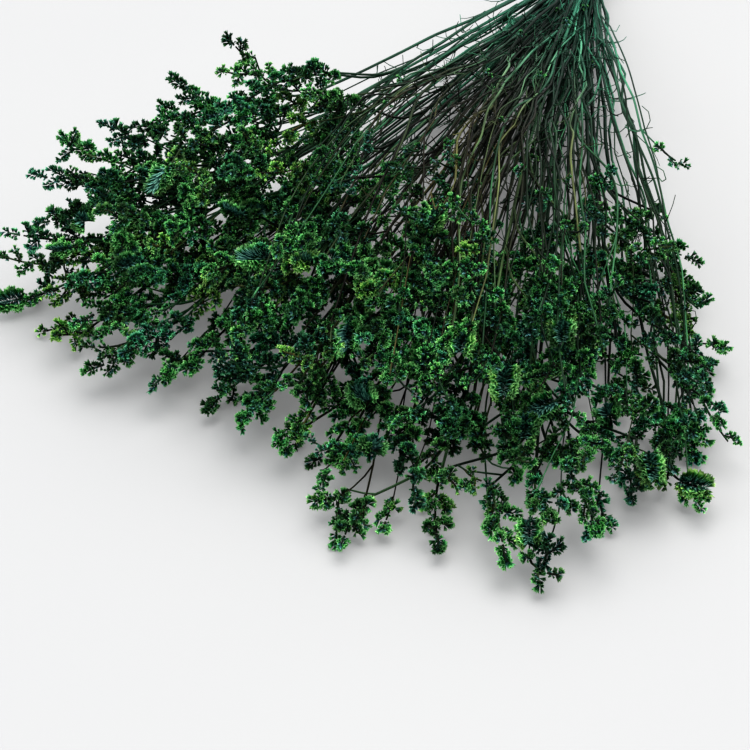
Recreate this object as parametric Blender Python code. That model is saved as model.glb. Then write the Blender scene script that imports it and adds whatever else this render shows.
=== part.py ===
"""A bunch of dried statice, tied near its cut ends and lying on its side.

Every spray is one stem that forks into thin branches, and every branch ends in a head
of pointed florets. The stems run side by side through a wound tie, fan out from it and
flower over the far part of the fan. Lengths are in metres, +Z is up, and the origin is
on the surface under the middle of the tie. The heads point along -Y.
"""
import math
import random
from collections import namedtuple

import bmesh
import bpy
import numpy as np
from mathutils import Vector

# The bunch as a whole.
SEED = 41
SPRAYS = 30
HEADS = 178
# The stretch of the fan that flowers: degrees to the left of the bunch's axis, the reach at
# which the heads begin, the reach at which they end, and the height of the highest.
FAN = ((-21.5, 0.310, 0.415, 0.035), (-19.5, 0.310, 0.515, 0.045), (-16.0, 0.315, 0.500, 0.055),
       (-11.5, 0.330, 0.560, 0.065), (-8.0, 0.345, 0.515, 0.070), (-3.0, 0.360, 0.540, 0.078),
       (1.5, 0.350, 0.495, 0.083), (7.0, 0.320, 0.465, 0.088), (11.0, 0.300, 0.487, 0.088),
       (17.5, 0.310, 0.465, 0.085), (22.5, 0.340, 0.455, 0.065))
FAN_MIDDLE = math.radians(0.5)
FAN_HALF = math.radians(21.0)
# How much lower the highest heads are at the far edge than at the near one.
FAR_FALL = 0.65
LOWEST_HEAD = 0.0060
# Of the heads in the middle of the fan, more are high than low.
LIFT_POWER = 0.6

# The stems.
STEM_RADIUS = 0.0010
STEM_END_RADIUS = 0.0006
STEM_PITCH = 0.00245
STEM_POINTS = 7
STEM_DEPTHS = (0.60, 0.95)
HIGH_STEM_DEPTH = 0.40
START_FLARE = 0.7
END_FLARE = 1.2
ARCH = 0.012
CUT_LENGTHS = (0.070, 0.105)
CUT_SPREAD = 1.25

# The branches and their heads.
BRANCH_RADIUS = 0.0007
BRANCH_POINTS = 3
BRANCH_REACHES = (0.050, 0.065, 0.085, 0.110)
WIDEST_FORK = math.radians(55)
LONGEST_BRANCH = 1.8
ELBOW_SHARE = 0.45
TWIG_COST = 0.004
STEMS_TRIED = 8
HEAD_POINTS = 4
HEAD_TILT = 0.5
RESTING_SHARE = 0.85
CORE_SHARE = 0.36
# A whorl's florets start at the core and lean forward by this share of the whorl's length.
FLORET_LEAN = 0.7
WHORL_SHRINK = 0.45
WHORL_SIZES = (0.88, 1.0)
WHORL_TWIST = math.radians(80)
WHORL_STAGGER = 0.22
ROOT_DEPTH = 0.002
GAP = 0.0005
TRIES = 5000
# A floret tip this near the surface rests on it.
PRESSED = 0.0012
# Where a branch joins a stem, edges and slivers thinner than this are collapsed.
SLIVER = 0.00001

Size = namedtuple("Size", "widest narrowest length whorls")
HEAD_SIZES = (Size(0.0092, 0.0074, 0.036, 4), Size(0.0074, 0.0054, 0.028, 3),
              Size(0.0056, 0.0044, 0.022, 3))
Twig = namedtuple("Twig", "branch head radius whorls")

# The tie.
TWINE_RADIUS = 0.0009
TIE_TURNS = 3
TIE_PITCH = 0.0021
TIE_POINTS = 16
TIE_GAP = 0.00035
TIE_FLAT = 0.0004
STRAIGHT = 0.006

GOLDEN = math.pi * (3.0 - math.sqrt(5.0))
BUNDLE_RADIUS = STEM_PITCH * math.sqrt(SPRAYS / math.pi)
TIE_RADIUS = BUNDLE_RADIUS + STEM_RADIUS + TIE_GAP + TWINE_RADIUS
AXIS_HEIGHT = TIE_RADIUS + TWINE_RADIUS - TIE_FLAT


def fan_at(bearing):
    """The nearest reach, farthest reach and height of the heads at a bearing in radians."""
    degrees = [row[0] for row in FAN]
    return [float(np.interp(math.degrees(bearing), degrees, [row[column] for row in FAN]))
            for column in (1, 2, 3)]


def fan_place(bearing, depth, lift):
    """A point of the flowering stretch: depth 0 is its near edge, and lift 0 its lowest."""
    near, far, top = fan_at(bearing)
    reach = math.sqrt(near * near + (far * far - near * near) * depth)
    highest = top * (1.0 - FAR_FALL * depth ** 1.5)
    height = LOWEST_HEAD + max(highest - LOWEST_HEAD, 0.0) * lift
    return level_way(bearing) * reach + Vector((0.0, 0.0, height))


def level_way(bearing):
    """The level direction of a bearing."""
    return Vector((-math.sin(bearing), -math.cos(bearing), 0.0))


def bundle_place(index):
    """Where a stem stands in the bundle: leftward and upward, on a disc of radius 1."""
    distance = math.sqrt((index + 0.5) / SPRAYS)
    turn = index * GOLDEN
    return distance * math.cos(turn), distance * math.sin(turn)


def hermite(start, start_way, end, end_way, share):
    """A point on the smooth curve between two points with given directions."""
    square = share * share
    cube = square * share
    return (start * (2 * cube - 3 * square + 1) + start_way * (cube - 2 * square + share)
            + end * (3 * square - 2 * cube) + end_way * (cube - square))


def stem_route(index, draw):
    """The points of a stem from its cut end through the tie to its far tip."""
    leftward, upward = bundle_place(index)
    bearing = FAN_MIDDLE + FAN_HALF * leftward
    lift = (upward + 1.0) / 2.0
    depth = (1.0 - (1.0 - HIGH_STEM_DEPTH) * lift) * draw.uniform(*STEM_DEPTHS)
    end = fan_place(bearing, depth, lift)
    reach = end.xy.length
    held = Vector((-BUNDLE_RADIUS * leftward, 0.0, AXIS_HEIGHT + BUNDLE_RADIUS * upward))
    cut = Vector((held.x * CUT_SPREAD, draw.uniform(*CUT_LENGTHS), held.z))
    route = [cut, held + Vector((0.0, STRAIGHT, 0.0))]

    start = held - Vector((0.0, STRAIGHT, 0.0))
    start_way = level_way(START_FLARE * bearing) * reach
    end_way = level_way(END_FLARE * bearing) * reach
    start_way.z = (end.z - start.z) + 4.0 * ARCH * lift
    end_way.z = (end.z - start.z) - 4.0 * ARCH * lift
    for step in range(STEM_POINTS + 1):
        route.append(hermite(start, start_way, end, end_way, step / STEM_POINTS))
    return route


def at_reach(route, reach):
    """The point of a stem at a distance from the tie, and the direction there."""
    fanned = route[2:]
    for low, high in zip(fanned[:-1], fanned[1:]):
        if high.xy.length >= reach:
            break
    way = high - low
    part = (reach - low.xy.length) / (high.xy.length - low.xy.length)
    return low + way * min(max(part, 0.0), 1.0), way.normalized()


def above_surface(points, clearance):
    """The same points, none of them lower than the clearance."""
    return [Vector((p.x, p.y, max(p.z, clearance))) for p in points]


def head_axis(start, way, bend, size):
    """The curved middle line of a head, which starts at the end of its branch."""
    points = [start.copy()]
    for _ in range(HEAD_POINTS):
        way = (way + bend / HEAD_POINTS).normalized()
        points.append(points[-1] + way * (size.length / HEAD_POINTS))
    return above_surface(points, RESTING_SHARE * size.narrowest)


def branch_between(root, root_way, end):
    """A branch that leaves its stem forward and bends over to the start of a head."""
    elbow = root + root_way * (ELBOW_SHARE * (end - root).length)
    branch = []
    for step in range(BRANCH_POINTS):
        part = step / (BRANCH_POINTS - 1)
        branch.append(root * (1 - part) ** 2 + elbow * (2 * part * (1 - part)) + end * part ** 2)
    return above_surface(branch, 2 * BRANCH_RADIUS)


class Room:
    """The straight pieces laid so far, each with its radius, its spray and its kind."""

    def __init__(self):
        self.starts = np.zeros((0, 3))
        self.ends = np.zeros((0, 3))
        self.radii = np.zeros(0)
        self.owners = np.zeros(0, int)
        self.heads = np.zeros(0, bool)

    def add(self, points, radius, owner):
        """Takes up the room along a run of points."""
        places = np.array([tuple(p) for p in points])
        count = len(places) - 1
        self.starts = np.vstack((self.starts, places[:-1]))
        self.ends = np.vstack((self.ends, places[1:]))
        self.radii = np.append(self.radii, np.full(count, radius))
        self.owners = np.append(self.owners, np.full(count, owner))
        self.heads = np.append(self.heads, np.full(count, radius > STEM_RADIUS))

    def gaps(self, points):
        """How far a run of points is from each piece."""
        places = np.array([tuple(p) for p in points])
        start = places[:-1, None, :]
        way = places[1:, None, :] - start
        other = self.starts[None, :, :]
        other_way = self.ends[None, :, :] - other
        between = start - other
        a = (way * way).sum(-1)
        b = (way * other_way).sum(-1)
        c = (way * between).sum(-1)
        e = (other_way * other_way).sum(-1)
        f = (other_way * between).sum(-1)
        here = np.clip((b * f - c * e) / np.maximum(a * e - b * b, 1e-12), 0.0, 1.0)
        there = np.clip((b * here + f) / e, 0.0, 1.0)
        here = np.clip((b * there - c) / a, 0.0, 1.0)
        apart = between + way * here[..., None] - other_way * there[..., None]
        return np.sqrt((apart * apart).sum(-1)).min(0) - self.radii - GAP

    def around(self, gaps, owner):
        """The smallest gap to another spray, or to a head of the owner's own spray."""
        return float(gaps[(self.owners != owner) | self.heads].min())


def random_bend(draw):
    """How a head curves: a little to any side, and rather upward than down."""
    return Vector((draw.uniform(-0.5, 0.5), draw.uniform(-0.5, 0.5), draw.uniform(-0.2, 0.6)))


def end_head(route, index, room, draw):
    """The largest head that fits at the end of a stem, curved to where the most room is."""
    way = (route[-1] - route[-2]).normalized()
    for size in HEAD_SIZES:
        heads = [head_axis(route[-1], way, random_bend(draw), size) for _ in range(STEMS_TRIED)]
        head = max(heads, key=lambda axis: room.around(room.gaps(axis), index))
        radius = min(room.around(room.gaps(head), index), size.widest)
        if radius > size.narrowest:
            return Twig([], head, radius, size.whorls)
    return None


def end_heads(routes, room, draw):
    """The sprays with a head at the end of each stem, cut back where none would fit."""
    sprays = []
    for index, route in enumerate(routes):
        twig = end_head(route, index, room, draw)
        while twig is None and len(route) > STEM_POINTS:
            route = route[:-1]
            twig = end_head(route, index, room, draw)
        room.add(twig.head, twig.radius, index)
        sprays.append((route, [twig]))
    return sprays


def add_head(bearing, middle, size, sprays, room, draw):
    """Adds a head round a middle point if a spray near it can send a clear branch there."""
    way = (level_way(END_FLARE * bearing) + HEAD_TILT * random_bend(draw)).normalized()
    head = head_axis(middle - way * (0.5 * size.length), way, random_bend(draw), size)
    head_gaps = room.gaps(head)
    if head_gaps[room.heads].min() < size.narrowest:
        return 0
    choices = []
    for index, (route, twigs) in enumerate(sprays):
        for shorter in BRANCH_REACHES:
            root, root_way = at_reach(route, head[0].xy.length - shorter)
            across = head[0] - root
            if across.length < LONGEST_BRANCH * shorter and root_way.angle(across) < WIDEST_FORK:
                choices.append((across.length + TWIG_COST * len(twigs), index, root, root_way))
    choices.sort(key=lambda choice: choice[:2])
    for _, index, root, root_way in choices[:STEMS_TRIED]:
        radius = min(room.around(head_gaps, index), size.widest)
        branch = branch_between(root, root_way, head[0])
        if radius > size.narrowest and room.around(room.gaps(branch), index) > BRANCH_RADIUS:
            room.add(branch, BRANCH_RADIUS, index)
            room.add(head, radius, index)
            sprays[index][1].append(Twig(branch, head, radius, size.whorls))
            return 1
    return 0


def lay_out():
    """The route of every stem, with its branches and heads, none crossing another spray."""
    draw = random.Random(SEED)
    room = Room()
    routes = [stem_route(index, draw) for index in range(SPRAYS)]
    for index, route in enumerate(routes):
        room.add(route, STEM_RADIUS, index)
    sprays = end_heads(routes, room, draw)
    laid = len(sprays)
    edge_size = HEAD_SIZES[1]
    for row in FAN:
        bearing = math.radians(row[0])
        for lift in (0.0, 1.0):
            edge = fan_place(bearing, 1.0, lift) - level_way(bearing) * (0.5 * edge_size.length)
            for _ in range(STEMS_TRIED):
                if add_head(bearing, edge, edge_size, sprays, room, draw):
                    laid += 1
                    break
    for size in HEAD_SIZES:
        for _ in range(TRIES):
            bearing = FAN_MIDDLE + draw.uniform(-FAN_HALF, FAN_HALF)
            middle = fan_place(bearing, draw.random(), draw.random() ** LIFT_POWER)
            if laid < HEADS:
                laid += add_head(bearing, middle, size, sprays, room, draw)
    return sprays


def new_object(name, mesh, collection):
    """An object that shows a mesh, in a collection."""
    thing = bpy.data.objects.new(name, mesh)
    collection.objects.link(thing)
    return thing


def evaluated_mesh(thing):
    """A new mesh of an object as its modifiers or its bevel leave it."""
    bpy.context.view_layer.update()
    evaluated = thing.evaluated_get(bpy.context.evaluated_depsgraph_get())
    return bpy.data.meshes.new_from_object(evaluated)


def tube(name, points, radii, bevel_resolution, collection):
    """A closed tube along the points, made as a bevelled curve and turned into a mesh."""
    curve = bpy.data.curves.new(name, "CURVE")
    curve.dimensions = "3D"
    curve.bevel_depth = 1.0
    curve.bevel_resolution = bevel_resolution
    curve.use_fill_caps = True
    spline = curve.splines.new("POLY")
    spline.points.add(len(points) - 1)
    for point, place, radius in zip(spline.points, points, radii):
        point.co = (*place, 1.0)
        point.radius = radius
    drawn = new_object(name, curve, collection)
    mesh = evaluated_mesh(drawn)
    bpy.data.objects.remove(drawn)
    bpy.data.curves.remove(curve)
    shape = bmesh.new()
    shape.from_mesh(mesh)
    bmesh.ops.remove_doubles(shape, verts=shape.verts, dist=0.00001)
    bmesh.ops.recalc_face_normals(shape, faces=shape.faces)
    shape.to_mesh(mesh)
    shape.free()
    return new_object(name, mesh, collection)


def frames_along(points):
    """At each point, the way ahead and two ways square to it, turning with the points."""
    ways = []
    for index in range(len(points)):
        before = points[max(index - 1, 0)]
        after = points[min(index + 1, len(points) - 1)]
        ways.append((after - before).normalized())
    side = ways[0].orthogonal().normalized()
    frames = [(ways[0], side, ways[0].cross(side))]
    for before, way in zip(ways[:-1], ways[1:]):
        side = before.rotation_difference(way) @ side
        frames.append((way, side, way.cross(side)))
    return frames


def place_along(points, distance):
    """The point at a distance along a run of points, and the index of its stretch."""
    for index in range(len(points) - 1):
        length = (points[index + 1] - points[index]).length
        if distance <= length or index == len(points) - 2:
            return points[index].lerp(points[index + 1], distance / length), index
        distance -= length


def ring(centre, frame, radius, turn, stagger):
    """Three corners round a point, each further along than the one before."""
    way, side, other = frame
    corners = []
    for corner in range(3):
        angle = turn + corner * math.tau / 3
        out = side * math.cos(angle) + other * math.sin(angle)
        corners.append(centre + out * radius + way * (stagger * (corner - 1)))
    return corners


def twig_rings(twig, draw):
    """The rings of a branch and of its head, where whorls of florets stand out of a core."""
    frames = frames_along(twig.branch[:-1] + twig.head)
    turn = draw.uniform(0.0, math.tau)
    rings = []
    for point, frame in zip(twig.branch[:-1], frames):
        rings.append(ring(point, frame, BRANCH_RADIUS, turn, 0.0))
    head_frames = frames[len(rings):]
    length = sum((after - before).length for before, after in zip(twig.head[:-1], twig.head[1:]))
    pitch = length / (twig.whorls + 0.5)
    for whorl in range(twig.whorls):
        fullness = math.sin(math.pi * (whorl + 1) / (twig.whorls + 1))
        core = BRANCH_RADIUS if whorl == 0 else CORE_SHARE * twig.radius
        florets = twig.radius * (1.0 - WHORL_SHRINK * (1.0 - fullness)) * draw.uniform(*WHORL_SIZES)
        for radius, distance in ((core, whorl * pitch), (florets, (whorl + FLORET_LEAN) * pitch)):
            centre, index = place_along(twig.head, distance)
            stagger = WHORL_STAGGER * pitch if distance > 0 else 0.0
            rings.append(ring(centre, head_frames[index], radius, turn, stagger))
            turn += WHORL_TWIST / 2
    return rings


def loft(name, rings, tip, collection):
    """A closed mesh through rings of three corners, which ends in a point."""
    shape = bmesh.new()
    rows = [[shape.verts.new(corner) for corner in corners] for corners in rings]
    shape.faces.new(reversed(rows[0]))
    for low, high in zip(rows[:-1], rows[1:]):
        for corner in range(3):
            after = (corner + 1) % 3
            shape.faces.new((low[corner], low[after], high[corner]))
            shape.faces.new((low[after], high[after], high[corner]))
    end = shape.verts.new(tip)
    for corner in range(3):
        shape.faces.new((rows[-1][corner], rows[-1][(corner + 1) % 3], end))
    for vert in shape.verts:
        if vert.co.z < PRESSED:
            vert.co.z = 0.0
    mesh = bpy.data.meshes.new(name)
    shape.to_mesh(mesh)
    shape.free()
    return new_object(name, mesh, collection)


def keep_outer_skin(mesh):
    """Keeps the largest skin of a mesh, without sealed hollows, loose scraps or slivers."""
    shape = bmesh.new()
    shape.from_mesh(mesh)
    left = set(shape.verts)
    skins = []
    while left:
        skin = {left.pop()}
        edge_of_skin = list(skin)
        while edge_of_skin:
            vert = edge_of_skin.pop()
            beyond = {edge.other_vert(vert) for edge in vert.link_edges} - skin
            skin |= beyond
            edge_of_skin.extend(beyond)
        left -= skin
        skins.append(skin)
    largest = max(skins, key=len)
    loose = [vert for vert in shape.verts if vert not in largest]
    bmesh.ops.delete(shape, geom=loose, context="VERTS")
    bmesh.ops.triangulate(shape, faces=shape.faces)
    bmesh.ops.dissolve_degenerate(shape, dist=SLIVER, edges=shape.edges)
    bmesh.ops.triangulate(shape, faces=shape.faces)
    shape.to_mesh(mesh)
    shape.free()


def union_with(thing, collection):
    """Joins the meshes of a collection to an object, and removes the collection."""
    join = thing.modifiers.new("Union", "BOOLEAN")
    join.operation = "UNION"
    join.operand_type = "COLLECTION"
    join.collection = collection
    join.solver = "MANIFOLD"
    joined = evaluated_mesh(thing)
    thing.modifiers.remove(join)
    keep_outer_skin(joined)
    thing.data = joined
    for piece in list(collection.objects):
        bpy.data.objects.remove(piece)
    bpy.data.collections.remove(collection)


def set_material(thing, colour, roughness):
    """Gives an object one plain material of its own."""
    material = bpy.data.materials.new(thing.name)
    material.use_nodes = True
    shader = material.node_tree.nodes["Principled BSDF"]
    shader.inputs["Base Color"].default_value = (*colour, 1.0)
    shader.inputs["Roughness"].default_value = roughness
    shader.inputs["Metallic"].default_value = 0.0
    thing.data.materials.clear()
    thing.data.materials.append(material)


def make_spray(number, route, twigs, draw, collection):
    """One spray: its stem with every branch and head joined to it."""
    name = f"spray_{number:02d}"
    thing = tube(name, route, np.linspace(STEM_RADIUS, STEM_END_RADIUS, len(route)), 0, collection)
    twig_collection = bpy.data.collections.new(f"{name}_twigs")
    bpy.context.scene.collection.children.link(twig_collection)
    for twig in twigs:
        if not twig.branch:
            way = (twig.head[1] - twig.head[0]).normalized()
            twig = twig._replace(head=[twig.head[0] - way * ROOT_DEPTH] + twig.head[1:])
        loft("twig", twig_rings(twig, draw), twig.head[-1], twig_collection)
    union_with(thing, twig_collection)
    shade = draw.uniform(0.8, 1.2)
    set_material(thing, (0.020 * shade, 0.120 * shade, 0.030 * shade), 0.8)


def make_tie(collection):
    """Twine wound round the stems, pressed flat where it lies on the surface."""
    points = []
    for step in range(TIE_TURNS * TIE_POINTS + 1):
        turns = step / TIE_POINTS - TIE_TURNS / 2
        across = TIE_RADIUS * math.sin(math.tau * turns)
        up = AXIS_HEIGHT - TIE_RADIUS * math.cos(math.tau * turns)
        points.append(Vector((across, TIE_PITCH * turns, up)))
    tie = tube("tie", points, [TWINE_RADIUS] * len(points), 1, collection)
    shape = bmesh.new()
    shape.from_mesh(tie.data)
    everything = shape.verts[:] + shape.edges[:] + shape.faces[:]
    cut = bmesh.ops.bisect_plane(shape, geom=everything, plane_co=(0.0, 0.0, 0.0),
                                 plane_no=(0.0, 0.0, -1.0), clear_outer=True)
    flat_edges = [part for part in cut["geom_cut"] if isinstance(part, bmesh.types.BMEdge)]
    bmesh.ops.holes_fill(shape, edges=flat_edges)
    bmesh.ops.recalc_face_normals(shape, faces=shape.faces)
    shape.to_mesh(tie.data)
    shape.free()
    set_material(tie, (0.42, 0.30, 0.17), 0.9)


def main():
    for thing in list(bpy.data.objects):
        bpy.data.objects.remove(thing)
    collection = bpy.data.collections.new("dried_statice")
    bpy.context.scene.collection.children.link(collection)
    draw = random.Random(SEED + 4)
    for number, (route, twigs) in enumerate(lay_out(), start=1):
        make_spray(number, route, twigs, draw, collection)
    make_tie(collection)


main()
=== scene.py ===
"""The looks of a bunch of dried statice that lies on its side, tied near its cut ends.

The first half lays the bunch out as the solids are laid out, from the same named values and
the same seed. The second half grows finer stems, branches and combs of papery florets along
that layout, and adds the thin sprays and small combs that the solids leave out. Lengths are
in metres, +Z is up, and the origin is on the surface under the middle of the tie.
"""
import math
import random
from collections import namedtuple

import bpy
import numpy as np
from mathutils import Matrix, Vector


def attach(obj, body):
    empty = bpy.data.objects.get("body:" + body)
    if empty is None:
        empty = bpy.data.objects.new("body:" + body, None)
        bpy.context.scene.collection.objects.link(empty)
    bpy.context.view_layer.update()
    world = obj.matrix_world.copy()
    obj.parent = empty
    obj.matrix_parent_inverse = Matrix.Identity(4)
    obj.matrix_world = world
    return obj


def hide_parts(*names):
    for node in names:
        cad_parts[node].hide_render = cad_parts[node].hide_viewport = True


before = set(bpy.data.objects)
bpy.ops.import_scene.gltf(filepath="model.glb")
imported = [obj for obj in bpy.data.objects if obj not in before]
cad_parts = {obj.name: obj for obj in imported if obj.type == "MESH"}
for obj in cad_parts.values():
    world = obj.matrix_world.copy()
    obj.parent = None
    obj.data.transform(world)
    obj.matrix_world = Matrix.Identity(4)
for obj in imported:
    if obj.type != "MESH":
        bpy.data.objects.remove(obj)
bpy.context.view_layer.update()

# The bunch as a whole.
SEED = 41
# Thick sprays, thin sprays and the tie draw from streams of their own.
SPRAY_STREAM, FINE_STREAM, TIE_STREAM = 100, 7, 3
SPRAYS = 30
HEADS = 178
# The stretch of the fan that flowers: degrees to the left of the bunch's axis, the reach at
# which the heads begin, the reach at which they end, and the height of the highest.
FAN = ((-21.5, 0.310, 0.415, 0.035), (-19.5, 0.310, 0.515, 0.045), (-16.0, 0.315, 0.500, 0.055),
       (-11.5, 0.330, 0.560, 0.065), (-8.0, 0.345, 0.515, 0.070), (-3.0, 0.360, 0.540, 0.078),
       (1.5, 0.350, 0.495, 0.083), (7.0, 0.320, 0.465, 0.088), (11.0, 0.300, 0.487, 0.088),
       (17.5, 0.310, 0.465, 0.085), (22.5, 0.340, 0.455, 0.065))
FAN_MIDDLE = math.radians(0.5)
FAN_HALF = math.radians(21.0)
# How much lower the highest heads are at the far edge than at the near one.
FAR_FALL = 0.65
FALL_POWER = 1.5
LOWEST_HEAD = 0.0060
# Of the heads in the middle of the fan, more are high than low.
LIFT_POWER = 0.6

# The stems.
STEM_RADIUS = 0.0010
STEM_END_RADIUS = 0.0006
STEM_PITCH = 0.00245
STEM_POINTS = 7
STEM_DEPTHS = (0.60, 0.95)
HIGH_STEM_DEPTH = 0.40
START_FLARE = 0.7
END_FLARE = 1.2
ARCH = 0.012
CUT_LENGTHS = (0.070, 0.105)
CUT_SPREAD = 1.25

# The branches and their heads.
BRANCH_RADIUS = 0.0007
BRANCH_POINTS = 3
BRANCH_REACHES = (0.050, 0.065, 0.085, 0.110)
WIDEST_FORK = math.radians(55)
LONGEST_BRANCH = 1.8
ELBOW_SHARE = 0.45
TWIG_COST = 0.004
STEMS_TRIED = 8
HEAD_POINTS = 4
HEAD_TILT = 0.5
# How a head curves: a little to any side, and rather upward than down.
HEAD_BENDS = ((-0.5, 0.5), (-0.5, 0.5), (-0.2, 0.6))
RESTING_SHARE = 0.85
GAP = 0.0005
TRIES = 5000

Size = namedtuple("Size", "widest narrowest length")
HEAD_SIZES = (Size(0.0092, 0.0074, 0.036), Size(0.0074, 0.0054, 0.028),
              Size(0.0056, 0.0044, 0.022))
Twig = namedtuple("Twig", "branch head radius")

# The tie.
TWINE_RADIUS = 0.0009
TIE_TURNS = 3
TIE_PITCH = 0.0021
TIE_GAP = 0.00035
TIE_FLAT = 0.0004
STRAIGHT = 0.006

GOLDEN = math.pi * (3.0 - math.sqrt(5.0))
BUNDLE_RADIUS = STEM_PITCH * math.sqrt(SPRAYS / math.pi)
TIE_RADIUS = BUNDLE_RADIUS + STEM_RADIUS + TIE_GAP + TWINE_RADIUS
AXIS_HEIGHT = TIE_RADIUS + TWINE_RADIUS - TIE_FLAT


def fan_at(bearing):
    """The nearest reach, farthest reach and height of the heads at a bearing in radians."""
    degrees = [row[0] for row in FAN]
    return [float(np.interp(math.degrees(bearing), degrees, [row[column] for row in FAN]))
            for column in (1, 2, 3)]


def fan_place(bearing, depth, lift):
    """A point of the flowering stretch: depth 0 is its near edge, and lift 0 its lowest."""
    near, far, top = fan_at(bearing)
    reach = math.sqrt(near * near + (far * far - near * near) * depth)
    highest = top * (1.0 - FAR_FALL * depth ** FALL_POWER)
    return place_at(bearing, reach, LOWEST_HEAD + max(highest - LOWEST_HEAD, 0.0) * lift)


def roof(bearing, reach):
    """The height of the highest heads at a bearing and a reach."""
    near, far, top = fan_at(bearing)
    depth = (reach * reach - near * near) / (far * far - near * near)
    return top * (1.0 - FAR_FALL * min(max(depth, 0.0), 1.0) ** FALL_POWER)


def level_way(bearing):
    """The level direction of a bearing."""
    return Vector((-math.sin(bearing), -math.cos(bearing), 0.0))


def place_at(bearing, reach, height):
    """The point at a bearing in radians, a reach and a height."""
    return level_way(bearing) * reach + Vector((0.0, 0.0, height))


def bearing_of(place):
    """The bearing of a point in radians."""
    return math.atan2(-place[0], -place[1])


def bundle_place(index, count, turn):
    """Where a stem stands in the bundle: leftward and upward, on a disc of radius 1."""
    distance = math.sqrt((index + 0.5) / count)
    turn += index * GOLDEN
    return distance * math.cos(turn), distance * math.sin(turn)


def hermite(start, start_way, end, end_way, share):
    """A point on the smooth curve between two points with given directions."""
    square = share * share
    cube = square * share
    return (start * (2 * cube - 3 * square + 1) + start_way * (cube - 2 * square + share)
            + end * (3 * square - 2 * cube) + end_way * (cube - square))


def through_tie(aside, height, draw):
    """The first points of a stem: its cut end, and both ends of its straight run in the tie."""
    held = Vector((aside, 0.0, height))
    straight = Vector((0.0, STRAIGHT, 0.0))
    cut_end = Vector((held.x * CUT_SPREAD, draw.uniform(*CUT_LENGTHS), held.z))
    return [cut_end, held + straight, held - straight]


def fanned_out(route, end, start_bearing, end_bearing, arch):
    """The route continued on a smooth curve from the tie to the far tip of its stem."""
    start = route[-1]
    reach = end.xy.length
    start_way = level_way(start_bearing) * reach
    end_way = level_way(end_bearing) * reach
    start_way.z = (end.z - start.z) + arch
    end_way.z = (end.z - start.z) - arch
    return route + [hermite(start, start_way, end, end_way, step / STEM_POINTS)
                    for step in range(1, STEM_POINTS + 1)]


def stem_route(index, draw):
    """The points of a stem from its cut end through the tie to its far tip."""
    leftward, upward = bundle_place(index, SPRAYS, 0.0)
    bearing = FAN_MIDDLE + FAN_HALF * leftward
    lift = (upward + 1.0) / 2.0
    depth = (1.0 - (1.0 - HIGH_STEM_DEPTH) * lift) * draw.uniform(*STEM_DEPTHS)
    route = through_tie(-BUNDLE_RADIUS * leftward, AXIS_HEIGHT + BUNDLE_RADIUS * upward, draw)
    return fanned_out(route, fan_place(bearing, depth, lift), START_FLARE * bearing,
                      END_FLARE * bearing, 4.0 * ARCH * lift)


def at_reach(route, reach):
    """The point of a stem at a distance from the tie, and the direction there."""
    fanned = route[2:]
    for low, high in zip(fanned[:-1], fanned[1:]):
        if high.xy.length >= reach:
            break
    way = high - low
    part = (reach - low.xy.length) / (high.xy.length - low.xy.length)
    return low + way * min(max(part, 0.0), 1.0), way.normalized()


def above_surface(points, clearance):
    """The same points, none of them lower than the clearance."""
    return [Vector((p.x, p.y, max(p.z, clearance))) for p in points]


def bent_line(start, way, bend, length):
    """A line of a given length that bends evenly."""
    points = [start.copy()]
    for _ in range(HEAD_POINTS):
        way = (way + bend / HEAD_POINTS).normalized()
        points.append(points[-1] + way * (length / HEAD_POINTS))
    return points


def head_axis(start, way, bend, size):
    """The curved middle line of a head, which starts at the end of its branch."""
    points = bent_line(start, way, bend, size.length)
    return above_surface(points, RESTING_SHARE * size.narrowest)


def branch_between(root, root_way, end):
    """A branch that leaves its stem forward and bends over to the start of a head."""
    elbow = root + root_way * (ELBOW_SHARE * (end - root).length)
    branch = []
    for step in range(BRANCH_POINTS):
        part = step / (BRANCH_POINTS - 1)
        branch.append(root * (1 - part) ** 2 + elbow * (2 * part * (1 - part)) + end * part ** 2)
    return above_surface(branch, 2 * BRANCH_RADIUS)


def to_array(points):
    """Points as rows of an array."""
    return np.array([tuple(p) for p in points], float)


class Room:
    """The straight pieces laid so far, each with its radius, its spray and its kind."""

    def __init__(self):
        self.starts = np.zeros((0, 3))
        self.ends = np.zeros((0, 3))
        self.radii = np.zeros(0)
        self.owners = np.zeros(0, int)
        self.heads = np.zeros(0, bool)

    def add(self, points, radius, owner):
        """Takes up the room along a run of points."""
        places = to_array(points)
        count = len(places) - 1
        self.starts = np.vstack((self.starts, places[:-1]))
        self.ends = np.vstack((self.ends, places[1:]))
        self.radii = np.append(self.radii, np.full(count, radius))
        self.owners = np.append(self.owners, np.full(count, owner))
        self.heads = np.append(self.heads, np.full(count, radius > STEM_RADIUS))

    def gaps(self, points):
        """How far a run of points is from each piece."""
        places = to_array(points)
        start = places[:-1, None, :]
        way = places[1:, None, :] - start
        other = self.starts[None, :, :]
        other_way = self.ends[None, :, :] - other
        between = start - other
        a = (way * way).sum(-1)
        b = (way * other_way).sum(-1)
        c = (way * between).sum(-1)
        e = (other_way * other_way).sum(-1)
        f = (other_way * between).sum(-1)
        here = np.clip((b * f - c * e) / np.maximum(a * e - b * b, 1e-12), 0.0, 1.0)
        there = np.clip((b * here + f) / e, 0.0, 1.0)
        here = np.clip((b * there - c) / a, 0.0, 1.0)
        apart = between + way * here[..., None] - other_way * there[..., None]
        return np.sqrt((apart * apart).sum(-1)).min(0) - self.radii - GAP

    def around(self, gaps, owner):
        """The smallest gap to another spray, or to a head of the owner's own spray."""
        return float(gaps[(self.owners != owner) | self.heads].min())


def random_bend(draw):
    """How one head curves."""
    return Vector([draw.uniform(*span) for span in HEAD_BENDS])


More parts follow.
